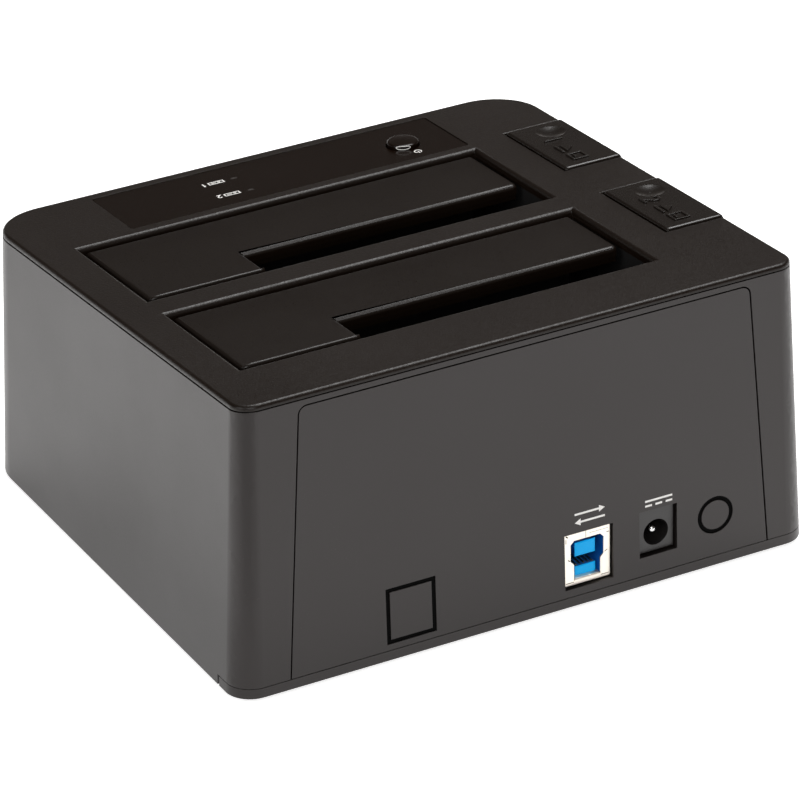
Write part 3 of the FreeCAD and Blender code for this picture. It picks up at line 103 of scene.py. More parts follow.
def widest_flat(node, look):
    """Normal and centre, in mm, of the largest face of a solid that looks along a direction."""
    faces = nodes[node].data.polygons
    area, normal, centre = (np.empty(len(faces) * width) for width in (1, 3, 3))
    faces.foreach_get("area", area)
    faces.foreach_get("normal", normal)
    faces.foreach_get("center", centre)
    normal, centre = normal.reshape(-1, 3), centre.reshape(-1, 3)
    best = np.argmax(area * (normal @ np.asarray(look) > SAME_WAY))
    return normal[best], centre[best] / MM


def lid_height(node):
    """How far the widest upward flat of a solid lies above the lid's middle plane, in mm."""
    _, (x, y, z) = widest_flat(node, (0, -math.sin(SLOPE), math.cos(SLOPE)))
    return (z - LID_MIDDLE) * math.cos(SLOPE) - y * math.sin(SLOPE)


def on_rear(points):
    """(x, z, lift) to world on the rear panel: y solves n . p = n . centre + lift."""
    x, z, lift = np.moveaxis(np.asarray(points, float), -1, 0)
    normal, centre = widest_flat("rear_panel", (0, 1, 0))
    y = (normal @ centre + lift - normal[0] * x - normal[2] * z) / normal[1]
    return np.stack([x, y, z], -1) * MM


strip_level, button_level = lid_height("status_strip"), lid_height("eject_button_1")
print("strip level:", round(strip_level, 2), "button level:", round(button_level, 2))

# %% [markdown]
# ## From arrays to meshes
#
# Every new surface is a grid of points worked out by numpy: a function of two parameters, or a
# section carried along a path. A modelling tool could draw the same shapes by hand, but a formula
# keeps its sizes in sight. One helper joins neighbours in the grid to four-sided faces, closes it
# round where it is a tube, and caps its ends where it isn't a ring.

# %% Meshes from grids


def grid_faces(rows, columns, round_rows=False, round_columns=False, start=0):
    """Faces between neighbours of a rows x columns grid whose points are numbered by row."""
    down = np.arange(rows if round_rows else rows - 1)
    along = np.arange(columns if round_columns else columns - 1)
    i, j = np.meshgrid(down, along, indexing="ij")
    below, right = (i + 1) % rows, (j + 1) % columns
    quads = np.stack([i * columns + j, below * columns + j, below * columns + right,
                      i * columns + right], -1)
    return (quads.reshape(-1, 4) + start).tolist()

# %% Closed meshes


def link(name, mesh):
    piece = bpy.data.objects.new(name, mesh)
    bpy.context.scene.collection.objects.link(piece)
    return piece


def outward(mesh, merge=1e-7):
    """Merges doubled points and turns all faces to point out."""
    work = bmesh.new()
    work.from_mesh(mesh)
    bmesh.ops.remove_doubles(work, verts=work.verts, dist=merge)
    bmesh.ops.dissolve_degenerate(work, edges=work.edges, dist=merge)
    bmesh.ops.recalc_face_normals(work, faces=work.faces)
    work.to_mesh(mesh)
    work.free()


def tubes(name, grids, place, smooth=False):
    """One mesh from closed tubes: each grid's rows are rings; open tubes get flat ends."""
    points, faces = [], []
    for grid, ring in grids:
        rows, columns = grid.shape[:2]
        start = sum(len(part) for part in points)
        points.append(place(grid).reshape(-1, 3))
        faces += grid_faces(rows, columns, ring, True, start)
        if not ring:
            first = list(range(start, start + columns))
            faces += [first, [index + (rows - 1) * columns for index in reversed(first)]]
    mesh = bpy.data.meshes.new(name)
    mesh.from_pydata(np.concatenate(points).tolist(), [], faces)
    outward(mesh)
    mesh.polygons.foreach_set("use_smooth", np.full(len(mesh.polygons), smooth))
    return link(name, mesh)

# %% How a piece is dressed


def dress(piece, body, slot, finish, *replaced):
    """Rides a piece on its body and gives it its finish."""
    piece.data.materials.append(finishes[finish])
    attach(piece, body)
    if replaced:
        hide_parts(*replaced)
    print(piece.name, len(piece.data.vertices), "points, on", body)
    return piece


print("solids that move:", [node for node, body in body_of_node.items() if body != "casing"])

# %% [markdown]
# ## Shader maths as Python
#
# A material is a graph of nodes. Written out link by link it hides the idea, so one small class
# stands for the output of a node: adding, multiplying or comparing it adds the Math node. A
# second class holds a tree of nodes, of a material or of the sky.

# %% A socket that does arithmetic


class Signal:
    """A node's output that takes part in arithmetic inside one tree of nodes."""

    def __init__(self, paint, socket):
        self.paint, self.socket = paint, socket

    def math(self, operation, *values):
        return self.paint.node("ShaderNodeMath", {"operation": operation}, dict(enumerate(values)))

    def __add__(self, other):
        return self.math("ADD", self, other)

    def __sub__(self, other):
        return self.math("SUBTRACT", self, other)

    def __rsub__(self, other):
        return self.math("SUBTRACT", other, self)

    def __mul__(self, other):
        return self.math("MULTIPLY", self, other)

    __radd__, __rmul__ = __add__, __mul__

    def above(self, limit):
        """1 where the signal is above the limit, else 0."""
        return self.math("GREATER_THAN", self, limit)

    def between(self, low, high):
        """A soft step from 0 at low to 1 at high."""
        return self.paint.node("ShaderNodeMapRange", {"interpolation_type": "SMOOTHSTEP"},
                               {"Value": self, "From Min": low, "From Max": high})

    def clamped(self):
        return self.paint.node("ShaderNodeClamp", {}, {0: self})


# %% A tree of nodes


class Tree:
    """A node tree with one method that adds any node."""

    def __init__(self, tree):
        self.tree = tree

    def node(self, kind, settings, sockets, output=0):
        """Adds a node, makes its settings first, then feeds its sockets; returns an output."""
        made = self.tree.nodes.new(kind)
        for name, value in settings.items():
            if name == "stops":
                stops = made.color_ramp.elements
                for index, (spot, colour) in enumerate(value):
                    stop = stops[index] if index < 2 else stops.new(spot)
                    stop.position, stop.color = spot, (*colour, 1)
            else:
                setattr(made, name, value)
        for name, value in sockets.items():
            self.feed(made.inputs[name], value)
        return Signal(self, made.outputs[output])

    def feed(self, socket, value):
        if isinstance(value, Signal):
            self.tree.links.new(value.socket, socket)
        else:
            socket.default_value = value

    def blend(self, amount, first, second):
        """Mixes two colours by a signal from 0 to 1."""
        ends = [end if isinstance(end, Signal) else (*end, 1) for end in (first, second)]
        return self.node("ShaderNodeMix", {"data_type": "RGBA"},
                         {0: amount, 6: ends[0], 7: ends[1]}, 2)

# %% A material under construction


class Paint(Tree):
    """A material under construction."""

    def __init__(self, name):
        self.material = bpy.data.materials.new(name)
        self.material.use_nodes = True
        super().__init__(self.material.node_tree)
        self.shader = self.tree.nodes["Principled BSDF"]

    def set(self, **values):
        """Feeds the surface shader: Base_Color=..., Roughness=..."""
        for name, value in values.items():
            self.feed(self.shader.inputs[name.replace("_", " ")], value)
        return self.material

    def place(self, stretch=(1.0, 1.0, 1.0)):
        """The point on the piece, in metres, stretched along the axes."""
        spot = self.node("ShaderNodeTexCoord", {}, {}, "Object")
        if stretch == (1.0, 1.0, 1.0):
            return spot
        return self.node("ShaderNodeMapping", {}, {"Vector": spot, "Scale": stretch})

    def noise(self, size, detail=2.0, roughness=0.5, stretch=(1.0, 1.0, 1.0)):
        """Cloudy noise from 0 to 1; size is that of one cloud, in millimetres."""
        return self.node("ShaderNodeTexNoise", {"noise_dimensions": "3D"}, {
            "Vector": self.place(stretch), "Scale": 1 / (size * MM), "Detail": detail,
            "Roughness": roughness})

    def bump(self, height, depth, strength=1.0, under=None):
        """A Bump node; depth is in millimetres."""
        sockets = {"Height": height, "Distance": depth * MM, "Strength": strength}
        if under is not None:
            sockets["Normal"] = under
        return self.node("ShaderNodeBump", {}, sockets)


# %% [markdown]
# ## Moulded plastics
#
# The lid of the real object has the fine sparkle of a spark-eroded mould, and the casing is a
# smoother satin. Both are the same black plastic. What tells them apart is how deep and how wide
# the grain is, so one function makes both. A slow noise varies the gloss as handling does, and
# a thin scatter of dust settles in patches.

# %% Plastics


def shade(colour, factor, lift=0.0):
    """A colour times a factor plus a lift, worked out in Python and kept to 1 at most."""
    return tuple(min(1.0, channel * factor + lift) for channel in colour)


DUST_SPECK, DUST_RARITY = 0.38, 0.735


def moulded(name, colour, roughness, grain_size, grain_depth, specular=0.5, mottle=0.15,
            dust=0.35, sparkle=0.0, glint=(1.0, 1.0, 1.0)):
    """Opaque plastic: grain_size and grain_depth are in millimetres. Mottle is how much the colour
    wanders, sparkle how much the gloss follows the grain, and glint the tint of what it mirrors."""
    paint = Paint(name)
    grain = paint.noise(grain_size, detail=3.0, roughness=0.65)
    ripple = paint.noise(6.0)
    cloud = paint.noise(42.0, detail=4.0, roughness=0.6)
    base = paint.blend(cloud, shade(colour, 1 - mottle), shade(colour, 1 + mottle * 2))
    specks = paint.noise(DUST_SPECK, detail=1.0).above(DUST_RARITY) * paint.noise(16.0).above(0.5)
    base = paint.blend(specks * dust, base, shade(colour, 3.0, 0.02))
    rough = (cloud - 0.5) * 0.14 + (grain - 0.5) * (0.10 + sparkle) + roughness
    relief = paint.bump(grain, grain_depth, 0.6, under=paint.bump(ripple, 0.03, 0.2))
    return paint.set(Base_Color=base, Roughness=rough.clamped(), Normal=relief,
                     Specular_IOR_Level=specular, Specular_Tint=(*glint, 1.0))


finishes = {
    "cover_plastic": moulded("textured lid plastic", (0.0050, 0.0024, 0.0010), 0.38, 0.55, 0.080,
                             0.25, sparkle=0.3),
    "casing_plastic": moulded("satin casing plastic", (0.0055, 0.0040, 0.0036), 0.38, 0.30, 0.010,
                              0.43, glint=(1.0, 0.96, 0.955)),
    "flap_plastic": moulded("flap plastic", (0.0042, 0.0020, 0.0008), 0.34, 0.40, 0.022, 0.24,
                            sparkle=0.2),
    "button_plastic": moulded("button plastic", (0.0045, 0.0025, 0.0014), 0.28, 0.30, 0.008, 0.34),
    "strip_plastic": moulded("smooth strip plastic", (0.0050, 0.0022, 0.0010), 0.20, 0.30, 0.002,
                             0.20, mottle=0.05, dust=0.06),
    "frame_plastic": moulded("inner frame plastic", (0.008, 0.0076, 0.0076), 0.6, 0.4, 0.015, 0.25),
    "lever_plastic": moulded("lever plastic", (0.02, 0.02, 0.021), 0.5, 0.3, 0.01, 0.4),
    "jack_black": moulded("connector plastic", (0.0120, 0.0108, 0.0105), 0.36, 0.3, 0.006, 0.5),
    "chip_black": moulded("chip moulding", (0.018, 0.018, 0.018), 0.6, 0.15, 0.02, 0.3),
    "coil_grey": moulded("coil ferrite", (0.07, 0.07, 0.072), 0.55, 0.2, 0.02, 0.4),
    "blue_insert": moulded("blue connector plastic", (0.003, 0.085, 0.36), 0.3, 0.4, 0.003, 0.5,
                           0.04, dust=0.0),
    # The tongues' faces: the insert's blue painted paler, as painted light on the faces that catch the
    # lamp.
    "tongue_blue_painted_lighter": moulded("blue tongue plastic painted lighter", (0.0, 0.42, 0.92), 0.34, 0.4, 0.003, 0.25,
                           0.05, dust=0.0),
    "socket_ivory": moulded("ivory socket plastic", (0.62, 0.56, 0.42), 0.45, 0.3, 0.006, 0.5,
                            0.04),
    "cable_grey": moulded("film cable", (0.42, 0.43, 0.45), 0.35, 0.5, 0.004, 0.5, 0.05),
    "lamp_white": moulded("lamp moulding", (0.7, 0.7, 0.62), 0.35, 0.3, 0.003, 0.5, 0.03),
    "switch_grey": moulded("switch moulding", (0.09, 0.09, 0.095), 0.5, 0.3, 0.01, 0.4),
    "rubber": moulded("foot rubber", (0.016, 0.016, 0.016), 0.85, 0.5, 0.06, 0.2),
    "white_ink": moulded("white printing ink", (0.80, 0.79, 0.77), 0.5, 0.12, 0.004, 0.4, 0.03),
    # Matt black for the data port's seams, and painted shade on the floors of the blank grooves.
    "seam_black_and_painted_shade": moulded("seam black and painted shade", (0.002, 0.002, 0.002), 0.9, 0.3, 0.01, 0.05),
}
print("plastics:", ", ".join(finishes))

# %% [markdown]
# ## Metals, the board and the light pipes
#
# Plated sheet is bright with fine scuffs, wire and screws carry the marks of drawing and
# turning, and a circuit board shows copper tracks through its green lacquer. A light pipe is
# smoky plastic that looks nearly black while its lamp is off.

# %% Metals


def metal(name, colour, roughness, scuff_size, scuff_depth, stretch=(1.0, 1.0, 1.0)):
    """Bare or plated metal; scuff_size and scuff_depth are in millimetres, and the scuffs are drawn
    out along an axis where stretch is below 1."""
    paint = Paint(name)
    scuffs = paint.noise(scuff_size, detail=4.0, roughness=0.7, stretch=stretch)
    base = paint.blend(paint.noise(5.0), colour, shade(colour, 0.8))
    rough = (scuffs - 0.5) * 0.2 + roughness
    return paint.set(Base_Color=base, Roughness=rough.clamped(), Metallic=1.0,
                     Normal=paint.bump(scuffs, scuff_depth, 0.5))

# %% Board and light pipes


def board_lacquer():
    """Green lacquer with copper tracks: bands along x or y, chosen patch by patch."""
    paint = Paint("board lacquer")
    place = paint.place()
    patch = paint.node("ShaderNodeTexVoronoi", {}, {"Vector": place, "Scale": 90.0}, "Color")
    cell = paint.node("ShaderNodeSeparateColor", {}, {0: patch})
    bands = [paint.node("ShaderNodeTexWave", {"bands_direction": axis},
                        {"Vector": place, "Scale": 160.0}) for axis in "XY"]
    lengthwise = cell.above(0.55)
    track = bands[0].above(0.62) * lengthwise + bands[1].above(0.62) * (1 - lengthwise)
    track = track * cell.above(0.25)
    green = paint.blend(paint.noise(25.0), (0.004, 0.05, 0.018), (0.006, 0.075, 0.026))
    return paint.set(Base_Color=paint.blend(track, green, (0.012, 0.13, 0.045)), Roughness=0.28,
                     Normal=paint.bump(track, 0.03, 0.6), Coat_Weight=0.3, Coat_Roughness=0.15)


def smoky_pipe():
    """Dark, glossy plastic with a faint haze."""
    paint = Paint("light pipe plastic")
    haze = paint.noise(1.1)
    base = paint.blend(haze, (0.020, 0.017, 0.016), (0.050, 0.045, 0.042))
    return paint.set(Base_Color=base, Roughness=haze * 0.1 + 0.12, IOR=1.49, Coat_Weight=0.6)


finishes.update({
    "steel": metal("turned steel", (0.45, 0.45, 0.46), 0.34, 0.2, 0.01),
    "spring_steel": metal("spring wire", (0.42, 0.42, 0.44), 0.30, 0.1, 0.006),
    "nickel": metal("nickel plate", (0.88, 0.82, 0.73), 0.36, 0.5, 0.004, (1.0, 1.0, 0.2)),
    "pin_nickel": metal("polished pin", (0.62, 0.62, 0.62), 0.14, 0.3, 0.002),
    "contact_gold": metal("contact plating", (0.86, 0.62, 0.24), 0.25, 0.3, 0.004),
    "can_aluminium": metal("capacitor can", (0.72, 0.72, 0.74), 0.3, 0.3, 0.004),
    "board": board_lacquer(),
    "clear_pipe": smoky_pipe(),
})
print("finishes:", len(finishes))

# %% [markdown]
# ## Dressing the solids
#
# A solid from the drawing has perfectly sharp edges, and light finds nothing to catch on them.
# A moulding has a small radius everywhere. Each shown solid is copied, its loose triangles are
# merged, flat areas are joined to single faces, and a narrow bevel rounds what is left. Normals
# weighted by area keep the wide flats flat beside their rounded edges. The drawing's own mesh
# stays untouched and is only hidden behind its copy.
#
# Two pieces that meet leave no room for a bevel between them, so only open edges are rounded:
# those from which a ray of light can leave the whole object. Angles below are in radians, the
# area of a sliver is in square millimetres, and the other sizes are in millimetres.

# %% Which edges can be seen
SHARP, SAME_PLANE = math.radians(30), math.radians(0.4)
SLIVER = 0.015
RAY_START = 0.03


def points_of(mesh):
    """The places of a mesh's points, in metres, as rows of one array."""
    place = np.empty(len(mesh.vertices) * 3)
    mesh.vertices.foreach_get("co", place)
    return place.reshape(-1, 3)


def all_triangles():
    """Points and triangles of every solid in one list, for casting rays."""
    points, corners, start = [], [], 0
    for solid in nodes.values():
        mesh = solid.data
        mesh.calc_loop_triangles()
        corner = np.empty(len(mesh.loop_triangles) * 3, int)
        mesh.loop_triangles.foreach_get("vertices", corner)
        points.append(points_of(mesh))
        corners.append(corner.reshape(-1, 3) + start)
        start += len(mesh.vertices)
    return np.concatenate(points).tolist(), np.concatenate(corners).tolist()


places, triangles = all_triangles()
whole = BVHTree.FromPolygons(places, triangles)
print("triangles that can stop a ray:", len(triangles))

# %% Open edges


def is_open(edge, middle):
    """True where a sharp edge borders no sliver, and a ray from its middle leaves the object."""
    if len(edge.link_faces) != 2 or edge.calc_face_angle(0.0) < SHARP:
        return False
    if min(face.calc_area() for face in edge.link_faces) < SLIVER * MM * MM:
        return False
    first, second = (face.normal for face in edge.link_faces)
    for way in (first + second, first, second):
        way = way.normalized()
        if whole.ray_cast(middle + way * RAY_START * MM, way)[0] is None:
            return True
    return False


# %% How round each edge is
EDGE_RADIUS = {
    "main_shell": 0.10, "rear_panel": 0.08, "base_plate": 0.06, "flap_1": 0.12, "flap_2": 0.12,
    "eject_button_1": 0.15, "eject_button_2": 0.15, "top_cover": 0.10, "status_strip": 0.08,
    "usb_insert": 0.08, "usb_shell": 0.10, "jack_body": 0.12, "bay_frame": 0.08,
    "power_button": 0.35, "foot_1": 0.3, "foot_2": 0.3, "foot_3": 0.3, "foot_4": 0.3,
}
# Upper edges lie above these levels, and the lid's notches and strip end at these places.
BUTTON_TOP, FLAP_TOP, LID_TOP = -0.2, -1.3, -0.5
NOTCHES_END, STRIP_END = -54.0, -35.0


def edge_finish(node, x, v, w):
    """Radius in mm of an edge at a place in the lid's frame: upper edges are rounder."""
    if node.startswith("eject_button"):
        return 0.55 if w > BUTTON_TOP else 0.12
    if node.startswith("flap") and w > FLAP_TOP:
        return 0.40
    if node == "top_cover" and w > LID_TOP:
        return 0.42 if x < NOTCHES_END else 0.30 if v > STRIP_END else 0.10
    return EDGE_RADIUS[node]


print("edges rounded on:", ", ".join(EDGE_RADIUS))

# %% Copies with soft edges
WELD, SHORTEST = 0.002, 0.004


def soften(node, segments=3):
    """A copy of a solid with its open edges rounded; it replaces the solid."""
    work = bmesh.new()
    work.from_mesh(nodes[node].data)
    bmesh.ops.remove_doubles(work, verts=work.verts, dist=WELD * MM)
    bmesh.ops.dissolve_degenerate(work, edges=work.edges, dist=SHORTEST * MM)
    bmesh.ops.dissolve_limit(work, angle_limit=SAME_PLANE, verts=work.verts, edges=work.edges)
    weight = work.edges.layers.float.new("bevel_weight_edge")
    rounded = {}
    for edge in work.edges:
        middle = (edge.verts[0].co + edge.verts[1].co) / 2
        if is_open(edge, middle):
            rounded[edge] = edge_finish(node, *to_lid(*(middle / MM)))
        edge.smooth = edge in rounded or edge.calc_face_angle(0.0) < SHARP
    widest = max(rounded.values(), default=EDGE_RADIUS[node])
    for edge, radius in rounded.items():
        edge[weight] = radius / widest
    mesh = bpy.data.meshes.new(f"{node}_moulded")
    work.to_mesh(mesh)
    work.free()
    mesh.polygons.foreach_set("use_smooth", np.full(len(mesh.polygons), True))
    piece = link(mesh.name, mesh)
    rounding = piece.modifiers.new("edge rounding", "BEVEL")
    rounding.width, rounding.segments = widest * MM, segments
    rounding.limit_method = "WEIGHT"
    rounding.use_clamp_overlap = False
    flatten = piece.modifiers.new("flat faces stay flat", "WEIGHTED_NORMAL")
    flatten.mode, flatten.weight, flatten.keep_sharp = "FACE_AREA", 60, True
    return dress(piece, body_of_node[node], slot_of_node[node], slot_of_node[node], node)


for name in EDGE_RADIUS:
    soften(name)

# %% [markdown]
# ## Return springs
#
# Under each eject button stands a coil spring. A pressed button shortens it: the foot of the coil
# stays on the frame, and its head follows the button. Here the coil is only a copy of its solid
# that rides on its body, and it keeps its shape in every pose.


def shorten(node):
    """A copy of a coil that replaces its solid and rides on the solid's body."""
    work = bmesh.new()
    work.from_mesh(nodes[node].data)
    mesh = bpy.data.meshes.new(f"{node}_coil")
    work.to_mesh(mesh)
    work.free()
    points = points_of(mesh)
    slot = slot_of_node[node]
    piece = dress(link(mesh.name, mesh), body_of_node[node], slot, slot, node)
    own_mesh(piece)


for bay in (1, 2):
    shorten(f"return_spring_{bay}")

# %% [markdown]
# ## Solids shown as they are
#
# Everything inside the casing is seen only through the bays or with a flap open, so its solids
# are shown unchanged. They only need the finish of the material that the drawing names.

# %% The solids that are shown as they are
for name, solid in nodes.items():
    solid.data.materials.clear()
    solid.data.materials.append(finishes[slot_of_node[name]])
print("solids painted:", len(nodes))

# %% [markdown]
# ## Printed marks
#
# Ink is a film on the plastic, too thin to see from the side. Each mark is a flat bar carried
# along a path: a digit is one path, a ring is a closed one. A text object could give digits too,
# but digits of one stroke width take few lines of arithmetic and give clean, closed meshes. The
# bars are square: each corner of the section moves out from a path point by half the width,
# along the mitre of the two runs that meet there.

# %% Bars along paths


def bar(path, width, low, high, ring=False):
    """Square bar along a flat path: path point + half the width along the mitre of the two runs
    that meet there, at a low or a high level. A mitre is cut short at very sharp turns."""
    path = np.asarray(path, float)
    runs = np.diff(np.vstack([path, path[:1]]) if ring else path, axis=0)
    runs /= np.linalg.norm(runs, axis=1, keepdims=True)
    arrive = np.roll(runs, 1, 0) if ring else np.vstack([runs[:1], runs])
    leave = runs if ring else np.vstack([runs, runs[-1:]])
    turn = np.array([[0.0, 1.0], [-1.0, 0.0]])
    mitre = (arrive + leave) @ turn
    mitre /= np.linalg.norm(mitre, axis=1, keepdims=True)
    mitre /= np.maximum(np.sum(mitre * (arrive @ turn), 1, keepdims=True), 0.4)
    across = np.array([-0.5, -0.5, 0.5, 0.5]) * width
    flat = path[:, None, :] + across[None, :, None] * mitre[:, None, :]
    level = np.broadcast_to(np.array([low, high, high, low]), flat.shape[:2])
    return np.concatenate([flat, level[..., None]], -1), ring


def plate(outline, low, high):
    """A flat plate: its outline at a low and a high level."""
    outline = np.asarray(outline, float)
    levels = np.array([low, high])[:, None, None]
    flat = np.broadcast_to(outline, (2, *outline.shape))
    return np.concatenate([flat, np.broadcast_to(levels, (*flat.shape[:2], 1))], -1), False

# %% Arcs, digits and boxes


def arc(centre, radius, start, stop, count=17):
    """Points of an arc: centre + radius (cos t, sin t), t in degrees from start to stop."""
    angle = np.radians(np.linspace(start, stop, count))
    reach = np.broadcast_to(np.asarray(radius, float), (2,))
    return np.stack([np.cos(angle), np.sin(angle)], -1) * reach + np.asarray(centre, float)


def digit_path(digit, height):
    """A 1 or a 2 of one stroke in a box of the given height, middle at the origin."""
    if digit == 1:
        return np.array([(-0.22, 0.30), (0.0, 0.5), (0.0, -0.5)]) * height
    bow = arc((0.0, 0.22), 0.28, 160, -35)
    return np.vstack([bow, [(-0.28, -0.5), (0.30, -0.5)]]) * height


def box_path(centre, size):
    """The four corners of an upright box, given its middle and its width and height."""
    signs = np.array([(-1, -1), (1, -1), (1, 1), (-1, 1)])
    return np.asarray(centre) + signs * np.asarray(size) / 2


print("bar along a digit:", bar(digit_path(2, 1.0), 0.2, 0.0, 0.1)[0].shape)

# %% Marks beside the indicator windows
# A digit and a small picture of a drive, with its disc and its label, name each window's bay.
INK = (-0.02, 0.02)
WINDOW_ROWS = {1: -54.9, 2: -46.4}
DRIVE_MIDDLE, DRIVE_SIZE = 15.6, (3.8, 1.24)


def on_strip(points):
    """Marks read from the front: drawing right is +x and up is +v."""
    return on_lid(np.asarray(points, float) + (0, 0, strip_level))


for bay, along in WINDOW_ROWS.items():
    marks = [
        bar(digit_path(bay, 1.55) + (18.9, along), 0.32, *INK),
        bar(box_path((DRIVE_MIDDLE, along), DRIVE_SIZE), 0.27, *INK, ring=True),
        bar(arc((14.9, along), 0.28, 0, 345, 12), 0.2, *INK, ring=True),
        bar([(15.7, along), (16.9, along)], 0.28, *INK),
    ]
    dress(tubes(f"drive_mark_{bay}", marks, on_strip), "casing", "strip_plastic", "white_ink")

# %% Power marks
# A broken ring with a stroke is printed beside the power button, and an oval on its flank.
POWER_MARK, POWER_STROKE = np.array([-32.8, -44.1]), 0.28
POWER_AXIS, POWER_RADIUS = (-31.9, -50.1), 3.85
OVAL_BEARING = math.atan2(0.90, 0.43)
marks = [bar(arc(POWER_MARK, 0.85, 125, 415, 22), POWER_STROKE, *INK),
         bar([POWER_MARK + (0, 1.1), POWER_MARK], POWER_STROKE, *INK)]
dress(tubes("power_mark", marks, on_strip), "casing", "strip_plastic", "white_ink")


def on_flank(points):
    """(round, up, lift) to world on the power button's flank: the first is a length of arc."""
    round_way, up, lift = np.moveaxis(np.asarray(points, float), -1, 0)
    bearing = OVAL_BEARING + round_way / POWER_RADIUS
    reach = POWER_RADIUS + lift
    x = POWER_AXIS[0] + reach * np.cos(bearing)
    v = POWER_AXIS[1] + reach * np.sin(bearing)
    return on_lid(np.stack([x, v, up + strip_level], -1))


oval = arc((0.0, 0.62), (1.75, 0.44), 0, 351, 40)
dress(tubes("power_ring", [bar(oval, 0.2, -0.03, 0.03, ring=True)], on_flank), "power_button",
      "button_plastic", "white_ink")

# %% Port marks on the rear panel
# Two arrows stand for data both ways. A full line over a dashed one is the sign for direct current.
LINE = 0.5


def arrow(tail, tip, z, head=1.7, reach=1.5):
    """A straight arrow along x from tail to tip at height z; its head is a triangle."""
    way = math.copysign(1.0, tip - tail)
    neck = tip - way * reach
    return [bar([(tail, z), (neck + way * 0.02, z)], LINE, *INK),
            plate([(tip, z), (neck, z + head / 2), (neck, z - head / 2)], *INK)]


marks = arrow(-11.6, -19.4, 24.3) + arrow(-19.4, -11.6, 22.2)
dress(tubes("data_port_mark", marks, on_rear), "casing", "casing_plastic", "white_ink")
marks = [bar([(start, z), (start - length, z)], LINE, *INK) for start, z, length in
         ((-29.9, 22.5, 7.1), (-29.9, 21.3, 1.75), (-32.575, 21.3, 1.75), (-35.25, 21.3, 1.75))]
dress(tubes("power_port_mark", marks, on_rear), "casing", "casing_plastic", "white_ink")

# %% [markdown]
# ## The blank ports
#
# A round and a square outline mark places where other ports could be. On the real panel each is a
# deep moulded groove, and no light comes back from its floor. The solid has the grooves. A matt
# black bar laid in each of them is painted shade, as dark as the shadow deep in a narrow groove.

# %% Painted shade on the floors of the grooves
GROOVE = (-1.1, -0.28)
GROOVE_WIDTH = 0.96
ring = bar(arc((-48.35, 14.1), 4.15, 0, 352.5, 48), GROOVE_WIDTH, *GROOVE, ring=True)
square = bar(box_path((30.3, 12.2), (11.5, 12.9)), GROOVE_WIDTH, *GROOVE, ring=True)
dress(tubes("blank_groove_painted_shade", [ring, square], on_rear), "casing", "casing_plastic", "seam_black_and_painted_shade")

# %% [markdown]
# ## Raised marks and finger dishes on the eject buttons
#
# The buttons carry marks moulded in their own plastic, seen only by their glints. They are the
# same bars, taller and with a rounded edge, and they ride with their button. Beside them is a
# hollow for the finger. The solid's hollow has a sharp rim, so a thin dish lies over it whose
# slope fades out at the rim. A sculpted dent would do too, but a profile swept round like a pot
# is one line.

# %% Raised marks
RAISED, MARK_RADIUS = (-0.05, 0.30), 0.16
BUTTON_MIDDLES = {1: -26.95, 2: 19.25}
MARKS_X = -61.4


def on_button(middle_v):
    """Marks read from the casing's left: drawing right is +v and up is -x."""

    def place(points):
        right, up, lift = np.moveaxis(np.asarray(points, float), -1, 0)
        return on_lid(np.stack([MARKS_X - up, middle_v + right, button_level + lift], -1))

    return place


for button, middle_v in BUTTON_MIDDLES.items():
    glyphs = [
        bar(digit_path(button, 4.0) + (-3.0, 0.0), 0.75, *RAISED),
        plate([(1.2, -0.5), (5.6, -0.5), (3.4, 1.9)], *RAISED),
        bar([(1.2, -1.55), (5.6, -1.55)], 0.7, *RAISED),
        bar([(7.4, -1.8), (7.4, 1.8), (10.9, 1.8), (10.9, -1.8)], 0.6, *RAISED, ring=True),
        bar([(8.3, -0.8), (10.0, -0.8)], 0.5, *RAISED),
    ]
    marks = tubes(f"button_mark_{button}", glyphs, on_button(middle_v))
    rounding = marks.modifiers.new("edge rounding", "BEVEL")
    rounding.width, rounding.segments = MARK_RADIUS * MM, 3
    dress(marks, f"eject_button_{button}", "button_plastic", "button_plastic")

# %% Finger dishes
DISH_X, DISH_V = -64.2, -8.2
DISH_REACH, DISH_DEPTH, DISH_SHEET = 3.76, 0.59, 0.05
COVER_LIFT = 0.004


def dish_grid(middle_v):
    """A thin bowl: depth (1 - q q) to the power 1.2, with q the distance from its middle as a
    share of its reach. Rows go inwards over the bowl and outwards under it."""
    ratio = np.linspace(1.0, 1e-4, 22)
    upper = np.stack([DISH_REACH * ratio, -DISH_DEPTH * (1 - ratio ** 2) ** 1.2], -1)
    profile = np.vstack([upper, upper[::-1] - (0, DISH_SHEET)])
    reach, level = profile[:, :1], profile[:, 1:]
    sweep = np.linspace(0, 2 * math.pi, 56, endpoint=False)
    return np.stack([DISH_X + reach * np.cos(sweep), middle_v + DISH_V + reach * np.sin(sweep),
                     button_level + COVER_LIFT + level + 0 * sweep], -1)


for button, middle_v in BUTTON_MIDDLES.items():
    dish = tubes(f"finger_dish_{button}", [(dish_grid(middle_v), True)], on_lid, smooth=True)
    dress(dish, f"eject_button_{button}", "button_plastic", "button_plastic")

# %% [markdown]
# ## Raised lips of the flaps
#
# The free edge of each flap, beside its slot, ends in a rounded lip that lies just under the lid's
# face and draws a bright line there. It is half an oval carried along the edge, and it fades out
# where the flap's corner is rounded. The edge itself is read from the solid, so that the lip
# follows the flap.

# %% Lips
LIP_HALF, LIP_RISE, LIP_SINK = 0.62, 0.88, 0.15
LIP_INSET, SLOT_MARGIN, CORNER_REACH = 0.05, 0.4, 0.9


def free_edge(flap):
    """Least x, greatest x and v of the upper edge beside a flap's slot, in the lid's frame."""
    corners = np.stack(to_lid(*(points_of(nodes[flap].data).T / MM)), -1)
    upper = corners[corners[:, 2] > lid_height(flap) - 0.3]
    edge = upper[upper[:, 1] > upper[:, 1].max() - 0.5]
    return edge[:, 0].min(), edge[:, 0].max(), edge[:, 1].max()


